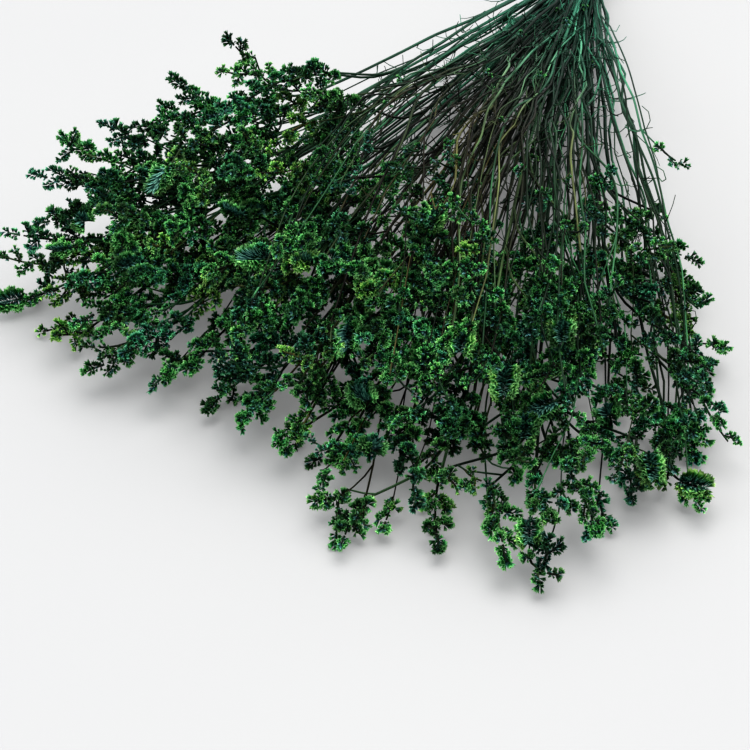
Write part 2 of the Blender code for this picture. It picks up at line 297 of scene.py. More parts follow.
def end_head(route, index, room, draw):
    """The largest head that fits at the end of a stem, curved to where the most room is."""
    way = (route[-1] - route[-2]).normalized()
    for size in HEAD_SIZES:
        heads = [head_axis(route[-1], way, random_bend(draw), size) for _ in range(STEMS_TRIED)]
        head = max(heads, key=lambda axis: room.around(room.gaps(axis), index))
        radius = min(room.around(room.gaps(head), index), size.widest)
        if radius > size.narrowest:
            return Twig([], head, radius)
    return None


def end_heads(routes, room, draw):
    """The sprays with a head at the end of each stem, cut back where none would fit."""
    sprays = []
    for index, route in enumerate(routes):
        twig = end_head(route, index, room, draw)
        while twig is None and len(route) > STEM_POINTS:
            route = route[:-1]
            twig = end_head(route, index, room, draw)
        room.add(twig.head, twig.radius, index)
        sprays.append((route, [twig]))
    return sprays


def add_head(bearing, middle, size, sprays, room, draw):
    """Adds a head round a middle point if a spray near it can send a clear branch there."""
    way = (level_way(END_FLARE * bearing) + HEAD_TILT * random_bend(draw)).normalized()
    head = head_axis(middle - way * (0.5 * size.length), way, random_bend(draw), size)
    head_gaps = room.gaps(head)
    if head_gaps[room.heads].min() < size.narrowest:
        return 0
    choices = []
    for index, (route, twigs) in enumerate(sprays):
        for shorter in BRANCH_REACHES:
            root, root_way = at_reach(route, head[0].xy.length - shorter)
            across = head[0] - root
            if across.length < LONGEST_BRANCH * shorter and root_way.angle(across) < WIDEST_FORK:
                choices.append((across.length + TWIG_COST * len(twigs), index, root, root_way))
    choices.sort(key=lambda choice: choice[:2])
    for _, index, root, root_way in choices[:STEMS_TRIED]:
        radius = min(room.around(head_gaps, index), size.widest)
        branch = branch_between(root, root_way, head[0])
        if radius > size.narrowest and room.around(room.gaps(branch), index) > BRANCH_RADIUS:
            room.add(branch, BRANCH_RADIUS, index)
            room.add(head, radius, index)
            sprays[index][1].append(Twig(branch, head, radius))
            return 1
    return 0


def lay_out():
    """The route of every stem, with its branches and heads, none crossing another spray."""
    draw = random.Random(SEED)
    room = Room()
    routes = [stem_route(index, draw) for index in range(SPRAYS)]
    for index, route in enumerate(routes):
        room.add(route, STEM_RADIUS, index)
    sprays = end_heads(routes, room, draw)
    laid = len(sprays)
    edge_size = HEAD_SIZES[1]
    for row in FAN:
        bearing = math.radians(row[0])
        for lift in (0.0, 1.0):
            edge = fan_place(bearing, 1.0, lift) - level_way(bearing) * (0.5 * edge_size.length)
            for _ in range(STEMS_TRIED):
                if add_head(bearing, edge, edge_size, sprays, room, draw):
                    laid += 1
                    break
    for size in HEAD_SIZES:
        for _ in range(TRIES):
            bearing = FAN_MIDDLE + draw.uniform(-FAN_HALF, FAN_HALF)
            middle = fan_place(bearing, draw.random(), draw.random() ** LIFT_POWER)
            if laid < HEADS:
                laid += add_head(bearing, middle, size, sprays, room, draw)
    return sprays


# The view: the photograph's angle, and a lens long enough for its flat perspective.
VIEW_TURN = math.radians(17.5)
VIEW_TILT = math.radians(34.0)
AIM = Vector((0.0110, -0.4398, 0.0200))
DISTANCE = 1.2375
LENS = 135.0
SENSOR = 36.0
# Each lamp: its name, its place, its width, its power and its tint.
LAMPS = (("key", (0.15, -0.10, 1.65), 1.7, 30.0, (1.0, 0.985, 0.96)),
         ("fill", (-1.10, -1.30, 1.10), 1.4, 8.0, (0.96, 0.98, 1.0)))
SKY_TINT = (0.97, 0.985, 1.0)
SKY_STRENGTH = 1.0
FLOOR_SIZE = 6.0
# The floor is lit a little from within, so that the shadows stay pale.
FLOOR_GLOW = 0.12

# The thin stems between the thick ones: how many, how thick, and how much their places in the
# fan, their depths and their ways stray.
FINE_STEMS = 84
FINE_RADII = (0.00042, 0.00090)
FINE_TAPER = 0.6
FINE_TURN = 1.9
FINE_DEPTHS = (0.10, 0.95)
FINE_STRAY = 0.22
FINE_LIFT_STRAY = 0.10
FINE_WAY_STRAYS = (0.07, 0.12)
FINE_CLEARANCE = 0.0008
# Left of these bearings in degrees the fine stems arch less, and then sag.
ARCH_BEARINGS = (2.0, 12.0)
ARCH_SHARES = (1.0, -0.4)

# How stems, branches and twigs are meshed.
PATH_STEP = 0.008
CURVE_PARTS = 12
STEM_SIDES = 8
TWIG_SIDES = 5
BARE_SIDES = 4
RIB = 0.10
THICKNESS_STOPS = (0.0, 0.25, 1.0)
UNEVEN_STEM = (0.94, 1.06)
# How far the closed end of a stem stands out, as a share of its radius.
STUB = 0.3
# The mesh's own coordinates run round a stem at this radius, and each tone shifts them.
GRAIN_RADIUS = 0.001
GRAIN_SHIFT = 7.3
FLORET_GRAIN = 900.0
BRANCH_RADII = (BRANCH_RADIUS, 0.00055)
STALK_RADII = (0.00045, 0.00040)
FINE_BRANCH_RADII = (0.00042, 0.00034)
# Stems bend a little at joints this far apart, by about this much.
JOINT_STEP = 0.034
CROOK = 0.0006
FINE_CROOK = 0.0014
# Bare twigs that leave the stems short of the heads: how many a stem, where, how long, how many
# stations they keep from a stem's ends, how level and how far aside they start, how much they
# curl at each of their bends, and what share fork or end in a small comb.
BARE_TWIGS = 6
BARE_REACHES = (0.06, 0.40)
BARE_LENGTHS = (0.008, 0.030)
BARE_BENDS = 5
BARE_ENDS = (12, 4)
BARE_FLAT = (1.0, 1.0, 0.4)
BARE_ASIDE = (0.10, 0.40)
BARE_CURLS = (0.45, 0.70, 1.00)
UNEVEN_CURL = 0.3
BARE_CLEARANCE = 0.0006
BARE_RADIUS = 0.00030
BARE_TAPER = 0.6
BARE_FORKS = 0.5
FORK_SHARES = (0.4, 0.8)
FORK_CURL = 0.25
BARE_COMBS = 0.03
BARE_COMB_RADIUS = 0.0028
BARE_COMB_SHARE = 0.8
TWIG_STEP = 0.0045
# Thin stems that lie over the heads: how many, their bearings in degrees, how far they reach,
# how much higher than the heads they are, and the shares of their reach at which they turn.
OVER_STEMS = 66
OVER_BEARINGS = (-15.0, 5.5)
OVER_REACHES = (0.35, 0.49)
OVER_LIFTS = (0.004, 0.013)
OVER_SHARES = (0.22, 0.45, 0.65, 0.82, 1.0)
OVER_TOP_REACH = 0.33
OVER_RISE = 1.25
OVER_STRAY = 0.8
# Where they stand in the bundle: how far aside, and how high in it.
OVER_ASIDE = 0.8
OVER_HEIGHTS = (0.1, 0.6)
# The share of their bearing that they have in the tie, and what comes to it up to their tips.
OVER_FLARE = (0.7, 0.3)
CEILING = 0.0980
# What the finer pieces stay inside: the sides, the flowering end and the top.
ROOM = ((-0.186, 0.174), (-0.550, 0.106), (0.0, 0.106))
# How brown the stems are at bearings in degrees.
BROWN_BEARINGS = (-20.0, -9.0, -5.0, 2.0, 7.0, 20.0)
BROWN_SHARES = (0.20, 0.35, 0.90, 0.90, 0.30, 0.15)
BROWN_STRAY = 0.22
# How yellow the rims of the combs are, and what share of them.
COMB_TONES = (0.12, 0.36, 0.55, 0.90)
COMB_TONE_SHARES = (0.14, 0.44, 0.34, 0.08)
COMB_TONE_STRAY = 0.06
# Thin stems along the right side: bearing in degrees, reach and height of each turn.
EDGE_STEMS = 9
EDGE_ROW = ((-16.0, 0.10, 0.034), (-17.8, 0.20, 0.052), (-19.0, 0.29, 0.050),
            (-19.4, 0.38, 0.026), (-19.2, 0.45, 0.008))
# Thin stems that lie low under the others, right of the middle.
UNDER_STEMS = 12
UNDER_ROW = ((-4.5, 0.10, 0.026), (-5.5, 0.20, 0.024), (-6.0, 0.29, 0.020),
             (-6.0, 0.38, 0.012), (-6.0, 0.45, 0.006))
# How far both kinds stray from their rows, in degrees, and how much lower or higher they lie.
EDGE_SPREAD = 0.6
UNDER_SPREAD = 4.5
ROW_STRAY = 0.3
ROW_HEIGHTS = (0.6, 1.1)
ROW_LOWEST = 0.0010
# Where they stand in the bundle: how far right of its middle, and how far above it.
ROW_ASIDE = 0.0055
ROW_ASIDES = (0.4, 1.0)
ROW_ABOVE = 0.006
ROW_ABOVES = (-0.6, 0.8)
# Where the heads are thin: two bearings in degrees, two reaches at which they begin and stop
# to be thin, and how much of them is left. The first is where the stems lie over the heads.
THIN_PLACES = ((-13.0, 3.5, 0.20, 0.385, 0.1), (-26.0, -17.5, 0.20, 0.45, 0.4),
               (-16.0, 8.0, 0.48, 0.60, 0.5), (-26.0, -15.0, 0.36, 0.46, 0.35))
THIN_EDGE = (4.0, 0.04)
# What thin heads keep at least of their tone, their short combs and those combs' radius.
THIN_TONE = 0.6
THIN_COMBS = 0.35
THIN_RADIUS = 0.75
# Lower than this share of the highest heads, they are full everywhere.
THIN_HEIGHT = 0.78
THIN_HEIGHT_EDGE = 0.12
# Combs that stand out at the outline: bearing in degrees, reach, height, radius, length, and
# how far back the stalk may begin.
NAMED_COMBS = (
    (23.3, 0.403, 0.064, 0.0080, 0.022, 0.070), (22.4, 0.410, 0.056, 0.0075, 0.020, 0.060),
    (22.0, 0.398, 0.046, 0.0065, 0.014, 0.060), (-11.3, 0.550, 0.009, 0.0070, 0.014, 0.060),
    (-1.0, 0.512, 0.012, 0.0050, 0.018, 0.070), (-2.2, 0.526, 0.009, 0.0050, 0.020, 0.070),
    (22.3, 0.350, 0.064, 0.0090, 0.020, 0.060), (18.8, 0.338, 0.066, 0.0085, 0.024, 0.070),
    (21.6, 0.374, 0.060, 0.0085, 0.020, 0.060), (16.4, 0.296, 0.062, 0.0080, 0.020, 0.060),
    (20.8, 0.426, 0.048, 0.0080, 0.020, 0.060), (21.6, 0.430, 0.030, 0.0075, 0.018, 0.070),
    (-12.0, 0.546, 0.009, 0.0085, 0.018, 0.060), (-14.0, 0.524, 0.012, 0.0080, 0.016, 0.060),
    (-17.1, 0.486, 0.012, 0.0080, 0.022, 0.070), (-18.0, 0.490, 0.009, 0.0080, 0.022, 0.070),
    (-18.8, 0.496, 0.009, 0.0065, 0.012, 0.070), (-20.0, 0.420, 0.020, 0.0065, 0.016, 0.070),
    (-20.6, 0.284, 0.052, 0.0050, 0.014, 0.100))

# Long combs that face up and out: bearing in degrees, reach, height, radius and length.
LONG_NAMED = ((-9.4, 0.479, 0.052, 0.0075, 0.021), (-16.8, 0.494, 0.022, 0.0065, 0.018),
              (-12.1, 0.448, 0.058, 0.0070, 0.016), (-6.9, 0.462, 0.058, 0.0070, 0.015),
              (-3.6, 0.402, 0.080, 0.0065, 0.014), (-11.2, 0.534, 0.016, 0.0065, 0.016))
LONG_TONE = 0.66

# A head is one long comb, or short combs that stand out to all sides of an axis. Long combs are
# more frequent at the flowering end, start at a share of the head's axis, and face up and out.
FLORET_STEP = 0.0019
LONG_COMBS = (0.08, 0.30)
LONG_REACHES = (0.40, 0.46)
LONG_AHEAD = (0.40, 0.60)
LONG_HEAD = 0.02
LONG_RADIUS = 0.0075
LONG_LEAST_TONE = 0.5
OUTWARD = (0.10, -0.55, 0.85)
OUTWARD_STRAY = 0.30
# Short combs: how far apart on the axis, how long and thick, how far they spread in degrees up
# to near the axis's end and at its end, and how they turn, curl and vary.
SHORT_STEP = 0.0050
SHORT_LENGTH = 1.05
SHORT_LENGTHS = (0.75, 1.15)
SHORT_RADIUS = 0.0038
SHORT_RADII = (0.85, 1.15)
SHORT_SPREADS = (46.0, 6.0)
SPREAD_SHARES = (0.75, 1.0)
SHORT_END = 4
SHORT_BENDS = 3
SHORT_CURL = 0.30
SHORT_CLOSE = 0.5
SHORT_FACING = (0.5, 0.4)
TURN_STRAY = 0.3
SHORT_TONE_STRAY = 0.12
# A kind of comb: the step between florets, how wide, how loose, how far forward and how long
# the florets are, and their ranks. A rank: degrees from the facing side, share of the radius,
# share of a step by which it is shifted, and every how many steps it has a floret.
Kind = namedtuple("Kind", "step width loose lean lengths ranks bracts")
LONG = Kind(0.0013, 0.48, 7.0, 0.32, (0.90, 1.08),
            ((-64.0, 1.0, 0.0, 1), (64.0, 1.0, 0.5, 1), (-92.0, 0.88, 0.3, 1),
             (92.0, 0.88, 0.8, 1)),
            ((-48.0, 0.98, 0.1, 1), (48.0, 0.98, 0.6, 1), (-32.0, 0.95, 0.3, 1),
             (32.0, 0.95, 0.8, 1), (-16.0, 0.95, 0.0, 1), (16.0, 0.95, 0.5, 1),
             (0.0, 0.98, 0.2, 1)))
SHORT = Kind(0.0014, 0.62, 22.0, 0.30, (0.66, 1.14),
             ((-34.0, 1.0, 0.0, 1), (44.0, 1.0, 0.5, 1), (-84.0, 0.90, 0.3, 1),
              (92.0, 0.90, 0.7, 1), (180.0, 0.80, 0.7, 3)),
             ((-16.0, 0.80, 0.1, 2), (20.0, 0.80, 0.6, 2), (-66.0, 0.74, 0.3, 3),
              (70.0, 0.74, 0.8, 3)))
COMB_PLUMP = 0.92
# The length of the florets at a comb's start and end, and how fast it grows away from there.
START_FULLNESS = (0.55, 2.2)
END_FULLNESS = (0.62, 2.4)
# How much farther forward florets lean at a comb's end, how unevenly, and what bracts add.
END_LEAN = 1.1
UNEVEN_LEAN = 0.16
BRACT_LEAN = 0.35
BRACT_WIDTH = 0.0014
FLORET_ROOT = 0.0005
FLORET_WIDTHS = (0.85, 1.15)
FLORET_TONE_STRAY = 0.10
COMB_AXIS_RADII = (0.0006, 0.0003)
HEAD_AXIS_RADII = (0.0006, 0.0004)
# Florets are copies of a few templates. A funnel's rim: its corners, how wide and how high it is
# for a length of 1, what the frill adds to both, and how uneven the corners are.
TEMPLATES = 6
RIM_POINTS = 10
RIM_WIDE, RIM_HIGH = 0.42, 0.92
FRILL_WIDE, FRILL_HIGH = 0.09, 0.08
UNEVEN_RIM, UNEVEN_TURN = 0.08, 0.2
ASKEW = (0.1, 0.2, 1.0)
# Small combs in the room that larger ones leave: how many, how far apart, how deep in the fan,
# their radii and lengths, and how much their ways and axes stray.
FILL_COMBS = 104
FILL_TRIES = 4000
FILL_APART = 0.0120
FILL_DEPTH = 0.80
FILL_SIZES = ((0.0060, 0.009), (0.0070, 0.014), (0.0080, 0.020))
FILL_STRAY = 0.55
COMB_BEND = 0.60
COMB_CLEARANCE = 0.7
# The comb at the end of each thin stem: its radius and length.
END_COMB = (0.0048, 0.018)
# How far back from a small comb its stalk may leave a stem. Other places count as far off.
ROOT_BACK = (0.018, 0.075)
FAR_OFF = 1e3
# Small combs beside the heads: the share of heads that have one, how far back they leave, the
# stalks' lengths and spread, and the combs' lengths, radii, curl and least height.
SIDE_COMBS = 0.45
SIDE_BACKS = (0.004, 0.014)
SIDE_STALKS = (0.010, 0.016)
SIDE_SPREADS = (0.6, 1.0)
SIDE_LENGTHS = (0.011, 0.018)
SIDE_RADII = (0.0042, 0.0056)
SIDE_BENDS = 3
SIDE_CURL = 0.25
SIDE_CLEARANCE = 0.003

Template = namedtuple("Template", "places faces edges")
Comb = namedtuple("Comb", "axis radius back is_long", defaults=(ROOT_BACK[1], False))


def unit(rows):
    """Rows scaled to length 1."""
    return rows / np.maximum(np.linalg.norm(rows, axis=-1, keepdims=True), 1e-12)


def lengths_along(path):
    """How far each station of a path is from its start."""
    return np.append(0.0, np.cumsum(np.linalg.norm(np.diff(path, axis=0), axis=1)))


def smooth_path(points, step):
    """A smooth curve through the points, with stations a step apart."""
    knots = to_array(points)
    padded = np.vstack((2 * knots[0] - knots[1], knots, 2 * knots[-1] - knots[-2]))
    fine = []
    for before, low, high, after in zip(padded[:-3], padded[1:-2], padded[2:-1], padded[3:]):
        shares = np.linspace(0.0, 1.0, CURVE_PARTS, endpoint=False)[:, None]
        fine.append(0.5 * (2 * low + (high - before) * shares
                           + (2 * before - 5 * low + 4 * high - after) * shares ** 2
                           + (3 * low - before - 3 * high + after) * shares ** 3))
    curve = np.vstack(fine + [knots[-1:]])
    lengths = lengths_along(curve)
    count = max(int(round(lengths[-1] / step)), 2)
    stations = np.linspace(0.0, lengths[-1], count + 1)
    return np.column_stack([np.interp(stations, lengths, curve[:, k]) for k in range(3)])


def path_frames(path):
    """At each station the way ahead and two ways square to it, turning with the path."""
    ways = unit(np.gradient(path, axis=0))
    side = np.cross(ways[0], (0.0, 0.0, 1.0))
    if np.linalg.norm(side) < 0.1:
        side = np.cross(ways[0], (1.0, 0.0, 0.0))
    sides = []
    for way in ways:
        side = side - way * side.dot(way)
        side = side / np.linalg.norm(side)
        sides.append(side)
    sides = np.array(sides)
    return ways, sides, np.cross(ways, sides)


class Skin:
    """Triangles gathered for one mesh, with what the materials need to know of each corner."""

    def __init__(self):
        self.places, self.faces, self.finishes = [], [], []
        self.tones, self.edges, self.grains = [], [], []
        self.count = 0

    def add(self, places, faces, finish, tones, edges, grains):
        """Adds corners and triangles of one finish."""
        self.places.append(places)
        self.faces.append(faces + self.count)
        self.finishes.append(np.full(len(faces), finish))
        self.tones.append(np.broadcast_to(tones, len(places)))
        self.edges.append(np.broadcast_to(edges, len(places)))
        self.grains.append(grains)
        self.count += len(places)

    def mesh(self, name, materials):
        """The gathered triangles as a mesh."""
        places = np.vstack(self.places)
        places[:, 2] = np.maximum(places[:, 2], 0.0)
        faces = np.vstack(self.faces).astype(np.int32)
        mesh = bpy.data.meshes.new(name)
        mesh.vertices.add(len(places))
        mesh.vertices.foreach_set("co", places.astype(np.float32).ravel())
        mesh.loops.add(faces.size)
        mesh.loops.foreach_set("vertex_index", faces.ravel())
        mesh.polygons.add(len(faces))
        mesh.polygons.foreach_set("loop_start", np.arange(0, faces.size, 3, dtype=np.int32))
        for material in materials:
            mesh.materials.append(material)
        mesh.polygons.foreach_set("material_index", np.concatenate(self.finishes).astype(np.int32))
        mesh.update(calc_edges=True)
        mesh.shade_smooth()
        for label, values in (("tone", self.tones), ("edge", self.edges)):
            layer = mesh.attributes.new(label, "FLOAT", "POINT")
            layer.data.foreach_set("value", np.concatenate(values).astype(np.float32))
        layer = mesh.attributes.new("grain", "FLOAT_VECTOR", "POINT")
        layer.data.foreach_set("vector", np.vstack(self.grains).astype(np.float32).ravel())
        return mesh


def add_object(name, data):
    """A new object in the scene."""
    made = bpy.data.objects.new(name, data)
    bpy.context.scene.collection.objects.link(made)
    return made


# The order of a spray's materials.
STEM, BRACT, CALYX = range(3)


def add_tube(skin, path, radii, sides, tone, ribbed, cut_start):
    """A tapered stem along a path, with ribs if it is thick and a pale face where it is cut."""
    ways, sideways, upways = path_frames(path)
    turns = np.linspace(0.0, math.tau, sides, endpoint=False)
    swell = 1.0 + (RIB * np.cos(turns * sides / 2) if ribbed else 0.0 * turns)
    out = (sideways[:, None] * np.cos(turns)[:, None] + upways[:, None] * np.sin(turns)[:, None])
    places = path[:, None] + out * (radii[:, None] * swell)[..., None]
    rows = len(path)
    corners = np.arange(sides)
    here = np.arange(rows - 1)[:, None] * sides + corners
    after = np.arange(rows - 1)[:, None] * sides + (corners + 1) % sides
    faces = np.concatenate((np.stack((here, after, here + sides), -1).reshape(-1, 3),
                            np.stack((after, after + sides, here + sides), -1).reshape(-1, 3)))
    grains = np.zeros((rows, sides, 3))
    grains[..., 0] = np.cos(turns) * GRAIN_RADIUS
    grains[..., 1] = np.sin(turns) * GRAIN_RADIUS
    grains[..., 2] = lengths_along(path)[:, None] + GRAIN_SHIFT * tone
    skin.add(places.reshape(-1, 3), faces, STEM, tone, 0.0, grains.reshape(-1, 3))
    for row, cut, order in ((0, cut_start, -1), (rows - 1, False, 1)):
        rim = places[row]
        middle = path[row] + ways[row] * (order * STUB * radii[row])
        fan = np.stack((np.full(sides, sides), corners, (corners + 1) % sides), -1)
        skin.add(np.vstack((rim, middle)), fan[:, ::order], STEM, tone, 1.0 if cut else 0.0,
                 np.vstack((grains[row], grains[row].mean(0))))


def add_axis(skin, path, radii, tone):
    """A thin tapered tube, neither ribbed nor cut."""
    add_tube(skin, path, np.linspace(*radii, len(path)), TWIG_SIDES, tone, False, False)


def calyx_template(rng):
    """A papery funnel with a frilled rim, one unit long, which opens along +Z."""
    corners = np.arange(RIM_POINTS)
    rim = (corners + rng.uniform(-UNEVEN_TURN, UNEVEN_TURN, RIM_POINTS)) * math.tau / RIM_POINTS
    frill = np.tile((1.0, -1.0), RIM_POINTS // 2)
    wide = RIM_WIDE + FRILL_WIDE * frill + rng.uniform(-UNEVEN_RIM, UNEVEN_RIM, RIM_POINTS)
    high = RIM_HIGH + FRILL_HIGH * frill + rng.uniform(-UNEVEN_RIM, UNEVEN_RIM, RIM_POINTS)
    places = np.vstack((np.column_stack((np.cos(rim) * wide, np.sin(rim) * wide, high)),
                        ((0.0, 0.0, 0.0),)))
    faces = np.column_stack((np.full(RIM_POINTS, RIM_POINTS), (corners + 1) % RIM_POINTS, corners))
    return Template(places, faces, np.append(np.tile((1.0, 0.9), RIM_POINTS // 2), 0.0))


def bract_template(rng):
    """A narrow pointed leaf, folded along its keel, one unit long along +Z and one wide."""
    bow = rng.uniform(0.02, 0.16)
    tip = (rng.uniform(-0.2, 0.2), bow, 1.0)
    places = np.array(((0.0, 0.0, 0.0), (-0.5, 0.10, 0.42), (0.0, -0.06, 0.45),
                       (0.5, 0.10, 0.42), tip))
    faces = np.array(((0, 2, 1), (0, 3, 2), (1, 2, 4), (2, 3, 4)))
    return Template(places, faces, np.array((0.0, 0.6, 0.35, 0.6, 1.0)))


def add_copies(skin, templates, starts, ways, lengths, widths, finish, tones, rng):
    """Copies of the templates, each from its start along its way, turned at random."""
    picks = rng.integers(0, len(templates), len(starts))
    first = unit(np.cross(ways, ASKEW))
    second = np.cross(ways, first)
    if finish == CALYX:
        spins = rng.uniform(0.0, math.tau, len(starts))[:, None]
        first = first * np.cos(spins) + second * np.sin(spins)
        second = np.cross(ways, first)
    scales = np.stack((first * widths[:, None], second * widths[:, None],
                       ways * lengths[:, None]), 1)
    for pick, template in enumerate(templates):
        chosen = picks == pick
        if not chosen.any():
            continue
        places = starts[chosen][:, None] + (template.places[None, :, :, None]
                                            * scales[chosen][:, None]).sum(2)
        count, corners = places.shape[:2]
        faces = (template.faces[None] + (np.arange(count) * corners)[:, None, None]).reshape(-1, 3)
        grains = (np.tile(template.places, (count, 1))
                  + np.repeat(starts[chosen] * FLORET_GRAIN, corners, 0))
        skin.add(places.reshape(-1, 3), faces, finish, np.repeat(tones[chosen], corners),
                 np.tile(template.edges, count), grains)


def add_comb(skin, axis, radius, tone, facing, kind, rng):
    """A comb of florets: ranks of papery funnels with pointed bracts between them."""
    path = smooth_path(axis, kind.step)
    ways, _, _ = path_frames(path)
    face = unit(facing - ways * (ways @ facing)[:, None])
    across = np.cross(ways, face)
    rows = len(path)
    shares = np.linspace(0.0, 1.0, rows)
    fullness = np.minimum(START_FULLNESS[0] + START_FULLNESS[1] * shares,
                          END_FULLNESS[0] + END_FULLNESS[1] * (1.0 - shares))
    fullness = np.clip(fullness, 0.0, 1.0)
    add_axis(skin, path[::2], COMB_AXIS_RADII, tone)
    plump = COMB_PLUMP * radius
    for ranks, templates, finish in ((kind.ranks, CALYXES, CALYX), (kind.bracts, BRACTS, BRACT)):
        for angle, share, stagger, skip in ranks:
            keep = np.arange(rows - 1)[::skip]
            count = len(keep)
            turn = np.radians(angle + rng.normal(0.0, kind.loose, count))[:, None]
            lean = kind.lean + END_LEAN * shares[keep] ** 2 + rng.normal(0.0, UNEVEN_LEAN, count)
            if finish == BRACT:
                lean = lean + BRACT_LEAN
            way = unit(across[keep] * np.sin(turn) + face[keep] * np.cos(turn)
                       + ways[keep] * lean[:, None])
            start = path[keep] + (path[keep + 1] - path[keep]) * stagger
            length = plump * share * fullness[keep] * rng.uniform(*kind.lengths, count)
            width = length * kind.width if finish == CALYX else np.full(count, BRACT_WIDTH)
            width = width * rng.uniform(*FLORET_WIDTHS, count)
            tones = tone + rng.normal(0.0, FLORET_TONE_STRAY, count)
            add_copies(skin, templates, start + way * FLORET_ROOT, way, length, width, finish,
                       tones, rng)


def shown(place):
    """How fully the florets show at a place, from 0 to 1."""
    degrees = math.degrees(bearing_of(place))
    reach = math.hypot(place[0], place[1])
    least = 1.0
    for right, left, near, far, share in THIN_PLACES:
        aside = max(right - degrees, degrees - left, 0.0) / THIN_EDGE[0]
        beyond = max(near - reach, reach - far, 0.0) / THIN_EDGE[1]
        least = min(least, share + aside + beyond)
    lifted = place[2] / roof(math.radians(degrees), reach)
    return float(min(max(least, (THIN_HEIGHT - lifted) / THIN_HEIGHT_EDGE), 1.0))


def add_head_combs(skin, axis, radius, tone, rng):
    """A head: short combs that stand out to all sides of an axis, some with a long one ahead."""
    path = smooth_path(axis, FLORET_STEP)
    length = FLORET_STEP * (len(path) - 1)
    last = len(path) - 1
    full = shown(path[last // 2])
    tone *= THIN_TONE + (1.0 - THIN_TONE) * full
    up = unit(np.array(OUTWARD) + rng.normal(0.0, OUTWARD_STRAY, 3))
    longer = np.interp(math.hypot(path[0][0], path[0][1]), LONG_REACHES, LONG_COMBS)
    if length > LONG_HEAD and rng.random() < longer * full:
        last = int(last * rng.uniform(*LONG_AHEAD))
        add_comb(skin, path[last:], min(radius, LONG_RADIUS), max(tone, LONG_LEAST_TONE), up,
                 LONG, rng)
    ways, sides, others = path_frames(path)
    add_axis(skin, path[::2], HEAD_AXIS_RADII, tone)
    count = max(int(FLORET_STEP * last / SHORT_STEP), 1)
    turn = rng.uniform(0.0, math.tau)
    for step in range(count + 1):
        share = step / count
        at = int(round(share * last))
        turn += GOLDEN + rng.normal(0.0, TURN_STRAY)
        if rng.random() > THIN_COMBS + (1.0 - THIN_COMBS) * full:
            continue
        out = sides[at] * math.cos(turn) + others[at] * math.sin(turn)
        ending = share if at > len(path) - SHORT_END else min(share, SPREAD_SHARES[0])
        spread = math.radians(np.interp(ending, SPREAD_SHARES, SHORT_SPREADS))
        way = unit(ways[at] * math.cos(spread) + out * math.sin(spread))
        reach = SHORT_LENGTH * radius * rng.uniform(*SHORT_LENGTHS)
        curl = rng.normal(0.0, SHORT_CURL, 3) - SHORT_CLOSE * out
        points = [path[at]]
        for _ in range(SHORT_BENDS):
            points.append(points[-1] + way * reach / SHORT_BENDS)
            way = unit(way + curl / SHORT_BENDS)
        facing = unit(out + SHORT_FACING[0] * ways[at] + SHORT_FACING[1] * up)
        thick = SHORT_RADIUS * (THIN_RADIUS + (1.0 - THIN_RADIUS) * full)
        thick *= rng.uniform(*SHORT_RADII)
        shade = float(np.clip(tone + rng.normal(0.0, SHORT_TONE_STRAY), 0.0, 1.0))
        add_comb(skin, points, thick, shade, facing, SHORT, rng)


def crooked(path, crook, rng):
    """The same path, bent a little at joints; its ends stay."""
    length = PATH_STEP * (len(path) - 1)
    joints = max(int(length / JOINT_STEP), 1) + 1
    offsets = rng.normal(0.0, crook, (joints + 1, 3))
    offsets[0] = offsets[-1] = 0.0
    shares = np.linspace(0.0, joints, len(path))
    return path + np.column_stack([np.interp(shares, np.arange(joints + 1), offsets[:, k])
                                   for k in range(3)])


def add_branch(skin, points, radii, tone, rng):
    """A thin branch through the points, a little crooked."""
    add_axis(skin, crooked(smooth_path(points, PATH_STEP), CROOK, rng), radii, tone)


def add_stem(skin, route, radii, tone, rng):
    """A main stem from its cut end to its tip."""
    path = crooked(smooth_path(route, PATH_STEP), CROOK, rng)
    sizes = np.interp(np.linspace(0.0, 1.0, len(path)), THICKNESS_STOPS, radii)
    add_tube(skin, path, sizes * rng.uniform(*UNEVEN_STEM, len(path)), STEM_SIDES, tone, True, True)


RNG = np.random.default_rng(SEED)
CALYXES = [calyx_template(RNG) for _ in range(TEMPLATES)]
BRACTS = [bract_template(RNG) for _ in range(TEMPLATES)]


def comb_tone(rng):
    """How yellow the rims of a comb are: most are mid green, some bright, a few blue green."""
    tone = rng.choice(COMB_TONES, p=COMB_TONE_SHARES) + rng.normal(0.0, COMB_TONE_STRAY)
    return float(np.clip(tone, 0.0, 1.0))


def tone_at(place, rng):
    """How brown a stem is that ends at a place: green at the sides, brown in the middle."""
    brown = np.interp(math.degrees(bearing_of(place)), BROWN_BEARINGS, BROWN_SHARES)
    return float(np.clip(brown + rng.normal(0.0, BROWN_STRAY), 0.0, 1.0))


def set_on(points, path):
    """Moves the first of the points to the nearest station of a path."""
    near = int(np.linalg.norm(path - np.array(points[0]), axis=1).argmin())
    return [Vector(path[near])] + list(points[1:])


def side_comb(twig, rng):
    """A small comb on a stalk of its own beside a head."""
    start = np.array(twig.head[0])
    way = unit(np.array(twig.head[1]) - start)
    out = rng.normal(0.0, 1.0, 3)
    out = unit(out - way * out.dot(way))
    root = start - way * rng.uniform(*SIDE_BACKS)
    length = rng.uniform(*SIDE_LENGTHS)
    spread = rng.uniform(*SIDE_SPREADS)
    base = root + unit(way + out * spread) * rng.uniform(*SIDE_STALKS)
    axis = [Vector(base)]
    for _ in range(SIDE_BENDS):
        way = unit(way + out * SIDE_CURL)
        axis.append(axis[-1] + Vector(way) * (length / SIDE_BENDS))
    axis = above_surface(axis, SIDE_CLEARANCE)
    return [Vector(root), Vector(base)], axis, rng.uniform(*SIDE_RADII)


def riding(name, skin, materials):
    """The gathered triangles as a piece that rides on the one body."""
    piece = add_object(name, skin.mesh(name, materials))
    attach(piece, "root")
    return piece


